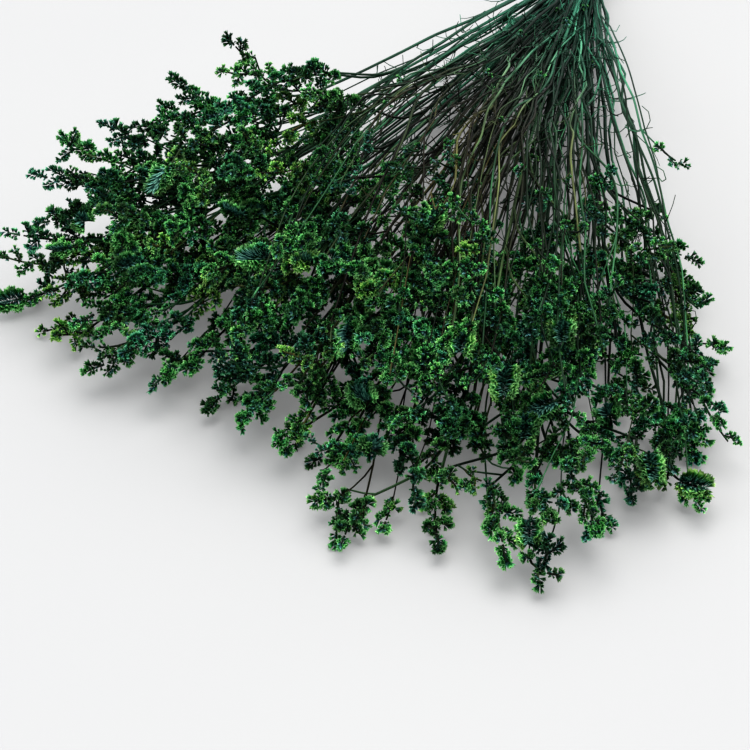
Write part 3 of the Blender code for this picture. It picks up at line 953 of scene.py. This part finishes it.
def dress_spray(number, route, twigs, materials):
    """One spray with a ribbed stem, crooked branches and combs where its heads are."""
    rng = np.random.default_rng(SEED * SPRAY_STREAM + number)
    skin = Skin()
    stem_tone = tone_at(route[-1], rng)
    add_stem(skin, route, (STEM_RADIUS, STEM_RADIUS, STEM_END_RADIUS), stem_tone, rng)
    stem = smooth_path(route, PATH_STEP)
    add_bare_twigs(skin, stem, stem_tone, rng)
    for twig in twigs:
        if twig.branch:
            add_branch(skin, twig.branch, BRANCH_RADII, stem_tone, rng)
        tone = comb_tone(rng)
        add_head_combs(skin, twig.head, twig.radius, tone, rng)
        if rng.random() < SIDE_COMBS:
            stalk, axis, radius = side_comb(twig, rng)
            carrier = smooth_path(twig.branch, TWIG_STEP) if twig.branch else stem
            add_branch(skin, set_on(stalk, carrier), STALK_RADII, stem_tone, rng)
            add_head_combs(skin, axis, radius, tone, rng)
    piece = riding(f"spray_{number:02d}_dressed", skin, materials)
    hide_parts(f"spray_{number:02d}")


def fine_route(index, rng):
    """The points of a thin stem: through the tie between the thick ones, then into the fan."""
    leftward, upward = bundle_place(index, FINE_STEMS, FINE_TURN)
    aside = float(np.clip(leftward + rng.normal(0.0, FINE_STRAY), -1.0, 1.0))
    bearing = FAN_MIDDLE + FAN_HALF * aside
    lift = float(np.clip((upward + 1.0) / 2.0 + rng.normal(0.0, FINE_LIFT_STRAY), 0.0, 1.0))
    end = fan_place(bearing, float(rng.uniform(*FINE_DEPTHS)), lift)
    arch = float(np.interp(math.degrees(bearing), ARCH_BEARINGS, ARCH_SHARES))
    route = through_tie(-BUNDLE_RADIUS * leftward, AXIS_HEIGHT + BUNDLE_RADIUS * upward, rng)
    strays = [float(rng.normal(0.0, stray)) for stray in FINE_WAY_STRAYS]
    route = fanned_out(route, end, START_FLARE * bearing + strays[0],
                       END_FLARE * bearing + strays[1], 4.0 * ARCH * lift * arch)
    return above_surface(route, FINE_CLEARANCE)


def over_route(rng):
    """The points of a thin stem that lies over the heads in the middle of the fan."""
    bearing = math.radians(rng.uniform(*OVER_BEARINGS))
    leftward = float(np.clip(bearing / FAN_HALF * OVER_ASIDE, -OVER_ASIDE, OVER_ASIDE))
    height = AXIS_HEIGHT + BUNDLE_RADIUS * rng.uniform(*OVER_HEIGHTS)
    route = through_tie(-BUNDLE_RADIUS * leftward, height, rng)
    longest = rng.uniform(*OVER_REACHES)
    lift = rng.uniform(*OVER_LIFTS)
    for share in OVER_SHARES:
        reach = share * longest
        turned = bearing * (OVER_FLARE[0] + OVER_FLARE[1] * share)
        turned += math.radians(rng.normal(0.0, OVER_STRAY))
        rise = min(reach / OVER_TOP_REACH, 1.0) ** OVER_RISE
        height = AXIS_HEIGHT + (roof(turned, reach) + lift - AXIS_HEIGHT) * rise
        route.append(place_at(turned, reach, min(height, CEILING)))
    return route


def row_route(row, spread, rng):
    """The points of a thin stem from rows of bearing, reach and height."""
    aside = ROW_ASIDE * rng.uniform(*ROW_ASIDES)
    route = through_tie(aside, AXIS_HEIGHT + ROW_ABOVE * rng.uniform(*ROW_ABOVES), rng)
    turned, lower = rng.normal(0.0, spread), rng.uniform(*ROW_HEIGHTS)
    for degrees, reach, height in row:
        bearing = math.radians(degrees + turned + rng.normal(0.0, ROW_STRAY))
        route.append(place_at(bearing, reach, max(height * lower, ROW_LOWEST)))
    return route


class Roots:
    """Where a small branch can leave a stem: stations along every stem."""

    def __init__(self, routes):
        paths = [smooth_path(route[2:], PATH_STEP) for route in routes]
        self.places = np.vstack(paths)
        self.ways = np.vstack([path_frames(path)[0] for path in paths])
        self.reaches = np.linalg.norm(self.places[:, :2], axis=1)
        self.owners = np.concatenate([np.full(len(path), k) for k, path in enumerate(paths)])

    def find(self, end, shortest, longest):
        """The station nearest to a branch's end, between two distances back from it."""
        back = math.hypot(end[0], end[1]) - self.reaches
        outside = (back < shortest) | (back > longest)
        best = int((np.linalg.norm(self.places - end, axis=1) + FAR_OFF * outside).argmin())
        return self.places[best], self.ways[best], int(self.owners[best])


def comb_at(middle, way, radius, length, rng):
    """The axis of a comb round a middle point, a little curved."""
    way = Vector(unit(np.array(way)))
    bend = Vector(rng.normal(0.0, COMB_BEND, 3))
    points = bent_line(Vector(middle) - way * (0.5 * length), way, bend, length)
    return above_surface(points, COMB_CLEARANCE * radius)


def fill_combs(taken, rng):
    """Small combs in what room the larger ones leave, evenly spread over the fan."""
    combs = []
    for radius, length in reversed(FILL_SIZES):
        for _ in range(FILL_TRIES):
            bearing = FAN_MIDDLE + float(rng.uniform(-FAN_HALF, FAN_HALF))
            depth = FILL_DEPTH * float(rng.random())
            place = np.array(fan_place(bearing, depth, float(rng.random()) ** LIFT_POWER))
            if rng.random() > shown(place) or len(combs) >= FILL_COMBS:
                continue
            if np.linalg.norm(taken - place, axis=1).min() > FILL_APART:
                way = np.array(level_way(END_FLARE * bearing)) + rng.normal(0.0, FILL_STRAY, 3)
                axis = comb_at(place, way, radius, length, rng)
                combs.append(Comb(axis, radius))
                taken = np.vstack((taken, to_array(axis)))
    return combs


def curled(start, way, out, length, curl, rng):
    """A line of a given length that leaves to one side and curls."""
    points = [start]
    way = unit(way + out * rng.uniform(*BARE_ASIDE))
    hinge = unit(rng.normal(0.0, 1.0, 3))
    for _ in range(BARE_BENDS):
        points.append(points[-1] + way * length / BARE_BENDS)
        way = unit(way + curl * np.cross(hinge, way) + rng.normal(0.0, UNEVEN_CURL * curl, 3))
    points = np.array(points)
    points[:, 2] = np.maximum(points[:, 2], BARE_CLEARANCE)
    return points


def add_bare_twigs(skin, path, tone, rng):
    """Thin curled twigs that leave a stem short of the heads and cross its neighbours."""
    reaches = np.linalg.norm(path[:, :2], axis=1)
    ways, sides, others = path_frames(path)
    for _ in range(BARE_TWIGS):
        at = int(np.abs(reaches - rng.uniform(*BARE_REACHES)).argmin())
        if at < BARE_ENDS[0] or at > len(path) - BARE_ENDS[1]:
            continue
        turn = rng.uniform(0.0, math.tau)
        out = unit((sides[at] * math.cos(turn) + others[at] * math.sin(turn)) * BARE_FLAT)
        curl = rng.choice(BARE_CURLS)
        twig = curled(path[at], ways[at], out, rng.uniform(*BARE_LENGTHS), curl, rng)
        forks = [twig]
        if rng.random() < BARE_FORKS:
            length = rng.uniform(*FORK_SHARES) * BARE_LENGTHS[0]
            forks.append(curled(twig[2], unit(twig[3] - twig[2]), -out, length, FORK_CURL, rng))
        for fork in forks:
            if any(fork[:, k].min() < low or fork[:, k].max() > high
                   for k, (low, high) in enumerate(ROOM)):
                continue
            line = smooth_path(fork, TWIG_STEP)
            add_tube(skin, line, np.linspace(BARE_RADIUS, BARE_TAPER * BARE_RADIUS, len(line)),
                     BARE_SIDES, tone, False, False)
            if rng.random() < BARE_COMBS:
                ahead = (fork[-1] - fork[-2]) * BARE_COMB_SHARE
                add_comb(skin, fork[-1] + np.outer((0.0, 0.5, 1.0), ahead), BARE_COMB_RADIUS,
                         comb_tone(rng), np.array((0.0, 0.0, 1.0)), SHORT, rng)


def small_combs(routes, sprays, rng):
    """The combs of the thin sprays: first those at the stems' ends, then all others."""
    combs = []
    radius, length = END_COMB
    for route in routes:
        before, tip = to_array(route[-2:])
        combs.append(Comb(comb_at(tip, tip - before, radius, length, rng), radius))
    for degrees, reach, height, radius, length, back in NAMED_COMBS:
        way = level_way(math.radians(END_FLARE * degrees))
        middle = place_at(math.radians(degrees), reach, height)
        combs.append(Comb(comb_at(middle, way, radius, length, rng), radius, back))
    combs += fill_combs(np.vstack([to_array(twig.head) for _, twigs in sprays for twig in twigs]),
                        rng)
    for degrees, reach, height, radius, length in LONG_NAMED:
        half = level_way(math.radians(END_FLARE * degrees)) * (0.5 * length)
        middle = place_at(math.radians(degrees), reach, height)
        combs.append(Comb([middle - half, middle, middle + half], radius, is_long=True))
    return combs


def carried(routes, combs):
    """For each thin stem its combs, each with the branch between them if it has one."""
    twigs = [[(None, comb)] for comb in combs[:len(routes)]]
    roots = Roots(routes)
    for comb in combs[len(routes):]:
        root, way, owner = roots.find(np.array(comb.axis[0]), ROOT_BACK[0], comb.back)
        twigs[owner].append((branch_between(Vector(root), Vector(way), comb.axis[0]), comb))
    return twigs


def dress_fine_sprays(sprays, materials):
    """The thin sprays: a fine stem each, and the small combs that branch from it."""
    rng = np.random.default_rng(SEED * FINE_STREAM)
    routes = [fine_route(index, rng) for index in range(FINE_STEMS)]
    routes += [over_route(rng) for _ in range(OVER_STEMS)]
    routes += [row_route(EDGE_ROW, EDGE_SPREAD, rng) for _ in range(EDGE_STEMS)]
    routes += [row_route(UNDER_ROW, UNDER_SPREAD, rng) for _ in range(UNDER_STEMS)]
    twigs_of = carried(routes, small_combs(routes, sprays, rng))
    for number, (route, twigs) in enumerate(zip(routes, twigs_of), start=1):
        skin = Skin()
        tone = tone_at(route[-1], rng)
        thick = float(rng.uniform(*FINE_RADII))
        path = crooked(smooth_path(route, PATH_STEP), FINE_CROOK, rng)
        radii = np.linspace(thick, FINE_TAPER * thick, len(path))
        add_tube(skin, path, radii, TWIG_SIDES, tone, False, True)
        for branch, comb in twigs:
            if branch:
                add_branch(skin, set_on(branch, path), FINE_BRANCH_RADII, tone, rng)
            if comb.is_long:
                add_comb(skin, comb.axis, comb.radius, LONG_TONE, unit(np.array(OUTWARD)),
                         LONG, rng)
            else:
                add_head_combs(skin, comb.axis, comb.radius, comb_tone(rng), rng)
        add_bare_twigs(skin, path, tone, rng)
        piece = riding(f"fine_spray_{number:03d}", skin, materials)


# The twine: two plies round each other, and loose fibres at every few stations, each with how
# far it leans ahead, how far it reaches and bends, and its radii.
PLY_OFFSET = 0.00043
PLY_RADIUS = 0.00047
PLY_TWIST = 0.0032
PLY_TONES = ((0.0, 0.5), (math.pi, 0.5 + math.pi / 10))
FIBRE_EVERY = 3
FIBRE_AHEAD = 1.5
FIBRE_REACHES = (0.0009, 0.0017)
FIBRE_BEND = 0.0003
FIBRE_RADII = (0.00007, 0.00005, 0.00003)
FIBRE_SIDES = 3
WINDING_POINTS = 420
# The knot: its points, its size, how high it is on the tie and how deep. Then the lengths of its
# two ends, and their points: aside, share of the length aside, back, share of the length back, up.
KNOT_POINTS = 90
KNOT_SIZE = 0.00085
KNOT_ABOVE = 0.0018
KNOT_DEPTH = 1.1
KNOT_ENDS = (0.016, 0.021)
KNOT_END = ((0.0005, 0.0, 0.0, 0.0, 0.0), (0.004, 0.0, -0.002, 0.0, 0.0009),
            (0.0, 0.6, -0.006, -0.2, -0.0032), (0.0, 0.85, -0.012, 0.0, -0.0095))
KNOT_STEP = 0.0004


def add_twine(skin, path, rng):
    """Twine along a path: two plies twisted round each other, with loose fibres."""
    ways, sides, others = path_frames(path)
    turns = math.tau * lengths_along(path) / PLY_TWIST
    for half, tone in PLY_TONES:
        out = sides * np.cos(turns + half)[:, None] + others * np.sin(turns + half)[:, None]
        ply = path + out * PLY_OFFSET
        add_tube(skin, ply, np.full(len(ply), PLY_RADIUS), TWIG_SIDES, tone, False, False)
    for _ in range(len(path) // FIBRE_EVERY):
        at = int(rng.integers(0, len(path)))
        way = unit(rng.normal(0.0, 1.0, 3) + FIBRE_AHEAD * ways[at])
        tip = way * FIBRE_REACHES[1] + rng.normal(0.0, FIBRE_BEND, 3)
        fibre = path[at] + np.array([(0.0, 0.0, 0.0), way * FIBRE_REACHES[0], tip])
        add_tube(skin, fibre, np.array(FIBRE_RADII), FIBRE_SIDES, PLY_TONES[0][1], False, False)


def dress_tie(materials):
    """The wound tie as twine, with a small knot and two ends on top."""
    rng = np.random.default_rng(SEED * TIE_STREAM)
    skin = Skin()
    turns = np.linspace(-TIE_TURNS / 2, TIE_TURNS / 2, WINDING_POINTS)
    winding = np.column_stack((TIE_RADIUS * np.sin(math.tau * turns), TIE_PITCH * turns,
                               AXIS_HEIGHT - TIE_RADIUS * np.cos(math.tau * turns)))
    add_twine(skin, winding, rng)
    top = np.array((0.0, 0.0, AXIS_HEIGHT + TIE_RADIUS + KNOT_ABOVE))
    t = np.linspace(0.0, math.tau, KNOT_POINTS)
    knot = np.column_stack((np.sin(t) + 2 * np.sin(2 * t), np.cos(t) - 2 * np.cos(2 * t),
                            -KNOT_DEPTH * np.sin(3 * t)))
    add_twine(skin, top + knot * KNOT_SIZE, rng)
    for side, length in zip((-1.0, 1.0), KNOT_ENDS):
        end = [top + (side * (aside + share * length), back + slope * length, up)
               for aside, share, back, slope, up in KNOT_END]
        add_twine(skin, smooth_path(end, KNOT_STEP), rng)
    piece = riding("wound_tie", skin, materials)
    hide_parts("tie")


# Colours as 0 to 255. A row of stops: each is a share, then red, green and blue.
# The throats' dark colour is partly the florets' own deep green and partly painted shade in their
# hollows.
THROAT_WITH_PAINTED_SHADE = ((0.0, 3, 16, 17), (0.4, 3, 22, 15), (0.7, 5, 30, 14), (1.0, 10, 42, 15))
BODY = ((0.0, 24, 88, 66), (0.35, 28, 98, 45), (0.65, 44, 110, 58), (1.0, 72, 130, 58))
# The pale rims are partly the paper's own paler edge and partly painted highlight.
RIM = ((0.0, 112, 184, 148), (0.35, 128, 198, 124), (0.65, 150, 200, 134), (1.0, 170, 206, 118))
# Bracts are darkest at their base: partly their own dark blue green, partly painted shade.
BLUE_BRACT = ((0.0, 6, 18, 30), (0.5, 34, 80, 92), (1.0, 134, 184, 178))
GREEN_BRACT = ((0.0, 6, 22, 20), (0.5, 28, 80, 66), (1.0, 128, 182, 144))
# The pale streaks are partly the bracts' own pale lines and partly painted highlight.
STREAK_AND_HIGHLIGHT = (128, 160, 164)
NEAR_STEM = ((0.25, 20, 56, 47), (0.75, 88, 148, 128))
GREEN_STEM = ((0.25, 9, 24, 17), (0.75, 66, 108, 78))
BROWN_STEM = ((0.25, 17, 18, 12), (0.75, 108, 98, 66))
CUT_FACE = (176, 166, 124)
TWINE = ((0.25, 96, 74, 46), (0.5, 160, 130, 88), (0.8, 206, 180, 134))
FLOOR = ((0.0, 135, 135, 136), (1.0, 140, 140, 140))
# What a colour is multiplied by. Each stop is a share, then factors for red, green and blue.
SPARKLE = ((0.3, 0.40, 0.42, 0.45), (0.7, 1.3, 1.3, 1.3))
# Clumps: painted light and shade, random patches of florets darkened as if shaded and lightened as
# if lit.
CLUMP_LIGHT_AND_SHADE = ((0.36, 0.30, 0.33, 0.34), (0.50, 0.95, 0.95, 0.95), (0.64, 1.52, 1.48, 1.46))
FIBRES = ((0.3, 0.45, 0.45, 0.45), (0.7, 1.35, 1.35, 1.3))
EACH_STEM = ((0.0, 0.03, 0.035, 0.035), (0.45, 0.20, 0.22, 0.21), (0.8, 0.80, 0.86, 0.82),
             (1.0, 1.75, 1.9, 1.8))
# Noise: how far the grain along stems and florets is stretched, or None for noise in the
# object's own place, then its scale and its detail.
PATCH_NOISE = (None, 60.0, 2.0)
SPARKLE_NOISE = (None, 260.0, 1.0)
CLUMP_LIGHT_AND_SHADE_NOISE = (None, 42.0, 1.0)
FLECK_NOISE = ((1.0, 1.0, 1.0), 2.4, 3.0)
STREAK_NOISE = ((14.0, 14.0, 1.2), 2.0, 3.0)
FIBRE_NOISE = ((1900.0, 1900.0, 55.0), 1.0, 3.0)
BLOTCH_NOISE = ((300.0, 300.0, 22.0), 1.0, 2.0)
TWINE_NOISE = ((5200.0, 5200.0, 240.0), 1.0, 4.0)
CLOUD_NOISE = (None, 3.0, 2.0)
# A surface: how rough its low and high places are, how deep its relief is, and how much it
# shines. Dry paper and dry stems shine less than varnish does.
CALYX_SURFACE = ((0.35, 0.65), 0.0002, 0.25)
BRACT_SURFACE = ((0.3, 0.6), 0.0001, 0.25)
STEM_SURFACE = ((0.4, 0.7), 0.0002, 0.18)
TWINE_SURFACE = ((0.7, 0.95), 0.0002, 0.5)
FLOOR_SURFACE = ((0.6, 0.7), 0.0001, 0.5)
BUMP_STRENGTH = 0.6
# How much patches change the tone of florets, and between what shares bracts turn green.
PATCH_TONES = (-0.2, 0.2)
BRACT_TONES = (0.2, 0.8)
# From where to where on a floret its body follows on its throat, and its rim on its body.
BODY_EDGES = (0.25, 0.8)
RIM_EDGES = (0.74, 1.0)
# Streaks show where the noise is high, and at most this much.
STREAK_SHARES = (0.55, 0.85, 0.75)
# The tones at which stems turn brown, and the places behind the tie at which they lose the blue.
BROWN_TONES = (0.35, 0.9)
NEAR_PLACES = (-0.08, -0.30)


def linear(colour):
    """A colour given as 0 to 255, in the renderer's own scale."""
    return tuple((part / 255.0) ** 2.2 for part in colour) + (1.0,)


class Look:
    """A procedural material built node by node."""

    def __init__(self, name):
        self.material = bpy.data.materials.new(name)
        self.material.use_nodes = True
        self.tree = self.material.node_tree
        self.shader = self.tree.nodes["Principled BSDF"]

    def node(self, kind, inputs, **settings):
        """Adds a node; an input is a number, a colour or another node's output."""
        made = self.tree.nodes.new(kind)
        for key, value in settings.items():
            setattr(made, key, value)
        for key, value in inputs.items():
            if isinstance(value, bpy.types.NodeSocket):
                self.tree.links.new(value, made.inputs[key])
            else:
                made.inputs[key].default_value = value
        return made

    def value(self, label):
        """A number that the mesh carries for each corner."""
        return self.node("ShaderNodeAttribute", {}, attribute_name=label).outputs["Fac"]

    def grain(self, scale):
        """The mesh's own coordinates along its stems and florets, stretched."""
        place = self.node("ShaderNodeAttribute", {}, attribute_name="grain").outputs["Vector"]
        return self.node("ShaderNodeMapping", {"Vector": place, "Scale": scale}).outputs["Vector"]

    def noise(self, stretch, scale, detail):
        """Smooth noise from 0 to 1, in the stretched grain or in the object's own place."""
        place = self.grain(stretch) if stretch else self.place()
        inputs = {"Vector": place, "Scale": scale, "Detail": detail}
        return self.node("ShaderNodeTexNoise", inputs).outputs["Fac"]

    def place(self):
        """The object's coordinates."""
        return self.node("ShaderNodeTexCoord", {}).outputs["Object"]

    def steps(self, share, stops):
        """Blends by share: each stop is a share and a colour in the renderer's own scale."""
        made = self.node("ShaderNodeValToRGB", {"Fac": share})
        elements = made.color_ramp.elements
        while len(elements) < len(stops):
            elements.new(1.0)
        for element, (at, colour) in zip(elements, stops):
            element.position = at
            element.color = colour
        return made.outputs["Color"]

    def ramp(self, share, stops):
        """Colours by share, from a row of stops."""
        return self.steps(share, [(at, linear(colour)) for at, *colour in stops])

    def shaded(self, colour, share, stops):
        """The colour multiplied by factors that follow a share."""
        factors = self.steps(share, [(at, (*factor, 1.0)) for at, *factor in stops])
        return self.mix(1.0, colour, factors, "MULTIPLY")

    def spread(self, share, low, high):
        """Maps 0 to 1 onto low to high."""
        return self.node("ShaderNodeMapRange", {"Value": share, "To Min": low, "To Max": high},
                         ).outputs["Result"]

    def between(self, value, low, high, top=1.0, kind="LINEAR"):
        """Maps low to high onto 0 to the top."""
        ends = {"Value": value, "From Min": low, "From Max": high, "To Max": top}
        return self.node("ShaderNodeMapRange", ends, interpolation_type=kind).outputs["Result"]

    def mix(self, share, first, second, blend="MIX"):
        """Mixes two colours."""
        made = self.node("ShaderNodeMix", {"Factor": share}, data_type="RGBA", blend_type=blend)
        for socket, value in ((made.inputs[6], first), (made.inputs[7], second)):
            if isinstance(value, bpy.types.NodeSocket):
                self.tree.links.new(value, socket)
            else:
                socket.default_value = value
        return made.outputs[2]

    def finish(self, colour, relief, roughness, depth, shine):
        """Connects the colour and a relief that also roughens, and gives the material."""
        self.shader.inputs["Specular IOR Level"].default_value = shine
        self.tree.links.new(colour, self.shader.inputs["Base Color"])
        self.tree.links.new(self.spread(relief, *roughness), self.shader.inputs["Roughness"])
        bump = self.node("ShaderNodeBump", {"Height": relief, "Distance": depth,
                                            "Strength": BUMP_STRENGTH})
        self.tree.links.new(bump.outputs["Normal"], self.shader.inputs["Normal"])
        return self.material


def calyx_look():
    """Papery florets: deep green throats darkened further with painted shade, rims from blue green
    to bright yellow green lightened in part as painted highlight, and clumps of painted light and
    shade.
    """
    look = Look("papery_calyx")
    tone, edge = look.value("tone"), look.value("edge")
    patches = look.spread(look.noise(*PATCH_NOISE), *PATCH_TONES)
    mixed = look.node("ShaderNodeMath", {0: tone, 1: patches}, operation="ADD").outputs[0]
    # Dark throats: partly painted shade in each floret's hollow.
    opened = look.mix(look.between(edge, *BODY_EDGES), look.ramp(mixed, THROAT_WITH_PAINTED_SHADE),
                      look.ramp(mixed, BODY))
    # Pale rims: partly painted highlight.
    tipped = look.between(edge, *RIM_EDGES, kind="SMOOTHSTEP")
    colour = look.mix(tipped, opened, look.ramp(mixed, RIM))
    colour = look.shaded(colour, look.noise(*SPARKLE_NOISE), SPARKLE)
    # Painted light and shade over random clumps of florets.
    colour = look.shaded(colour, look.noise(*CLUMP_LIGHT_AND_SHADE_NOISE), CLUMP_LIGHT_AND_SHADE)
    return look.finish(colour, look.noise(*FLECK_NOISE), *CALYX_SURFACE)


def bract_look():
    """The narrow pointed bracts between the florets: dark blue green, darker at the base with
    painted shade, and pale streaks that are partly painted highlight.
    """
    look = Look("dark_bract")
    tone, edge = look.value("tone"), look.value("edge")
    streaks = look.noise(*STREAK_NOISE)
    # Darker towards the base: partly painted shade.
    colour = look.mix(look.spread(tone, *BRACT_TONES), look.ramp(edge, BLUE_BRACT),
                      look.ramp(edge, GREEN_BRACT))
    # Pale streaks: partly painted highlight.
    colour = look.mix(look.between(streaks, *STREAK_SHARES), colour, linear(STREAK_AND_HIGHLIGHT))
    return look.finish(colour, streaks, *BRACT_SURFACE)


def stem_look():
    """Dyed dry stems: blue green near the tie, grey green and brownish farther out."""
    look = Look("dry_stem")
    tone, cut = look.value("tone"), look.value("edge")
    fibres = look.noise(*FIBRE_NOISE)
    blotches = look.noise(*BLOTCH_NOISE)
    along = look.node("ShaderNodeSeparateXYZ", {"Vector": look.place()}).outputs["Y"]
    far = look.mix(look.between(tone, *BROWN_TONES), look.ramp(blotches, GREEN_STEM),
                   look.ramp(blotches, BROWN_STEM))
    colour = look.mix(look.between(along, *NEAR_PLACES), look.ramp(blotches, NEAR_STEM), far)
    colour = look.shaded(colour, fibres, FIBRES)
    each = look.node("ShaderNodeTexWhiteNoise", {"W": tone}, noise_dimensions="1D").outputs["Value"]
    colour = look.mix(cut, look.shaded(colour, each, EACH_STEM), linear(CUT_FACE))
    return look.finish(colour, fibres, *STEM_SURFACE)


def twine_look():
    """Natural twine: tan fibres that run along each ply."""
    look = Look("jute_twine")
    fibres = look.noise(*TWINE_NOISE)
    return look.finish(look.ramp(fibres, TWINE), fibres, *TWINE_SURFACE)


def floor_look():
    """A plain pale surface that glows a little: painted light that keeps its shadows pale."""
    look = Look("pale_floor")
    clouds = look.noise(*CLOUD_NOISE)
    # Painted light: the floor glows a little so its shadows stay pale.
    look.shader.inputs["Emission Color"].default_value = (1.0, 1.0, 1.0, 1.0)
    look.shader.inputs["Emission Strength"].default_value = FLOOR_GLOW
    return look.finish(look.ramp(clouds, FLOOR), clouds, *FLOOR_SURFACE)


def make_floor():
    """The floor, which isn't part of the bunch."""
    mesh = bpy.data.meshes.new("floor")
    corners = ((-1, -1), (1, -1), (1, 1), (-1, 1))
    half = FLOOR_SIZE / 2
    mesh.from_pydata([(half * x, half * y, 0.0) for x, y in corners], [], [(0, 1, 2, 3)])
    mesh.materials.append(floor_look())
    add_object("floor", mesh)


def turn_to(made, way):
    """Turns a camera or a lamp so that it looks along a way."""
    made.rotation_mode = "QUATERNION"
    made.rotation_quaternion = way.to_track_quat("-Z", "Y")


def camera_and_light():
    """The camera at the photograph's angle, and soft studio light."""
    scene = bpy.context.scene
    forward = Vector((-math.sin(VIEW_TURN) * math.cos(VIEW_TILT),
                      math.cos(VIEW_TURN) * math.cos(VIEW_TILT), -math.sin(VIEW_TILT)))
    lens = bpy.data.cameras.new("camera")
    lens.lens = LENS
    lens.sensor_width = SENSOR
    camera = add_object("camera", lens)
    camera.location = AIM - forward * DISTANCE
    turn_to(camera, forward)
    scene.camera = camera
    scene.view_settings.view_transform = "Standard"
    scene.view_settings.look = "High Contrast"
    for name, place, width, power, tint in LAMPS:
        light = bpy.data.lights.new(name, "AREA")
        light.size = width
        light.energy = power
        light.color = tint
        lamp = add_object(name, light)
        lamp.location = place
        turn_to(lamp, AIM - lamp.location)
    scene.world = bpy.data.worlds.new("studio")
    scene.world.use_nodes = True
    sky = scene.world.node_tree.nodes["Background"]
    sky.inputs["Color"].default_value = (*SKY_TINT, 1.0)
    sky.inputs["Strength"].default_value = SKY_STRENGTH


def main():
    """The floor, the camera and the lamps, then all pieces of the bunch."""
    camera_and_light()
    make_floor()
    materials = (stem_look(), bract_look(), calyx_look())
    sprays = lay_out()
    for number, (route, twigs) in enumerate(sprays, start=1):
        dress_spray(number, route, twigs, materials)
    dress_fine_sprays(sprays, materials)
    dress_tie((twine_look(),))


main()
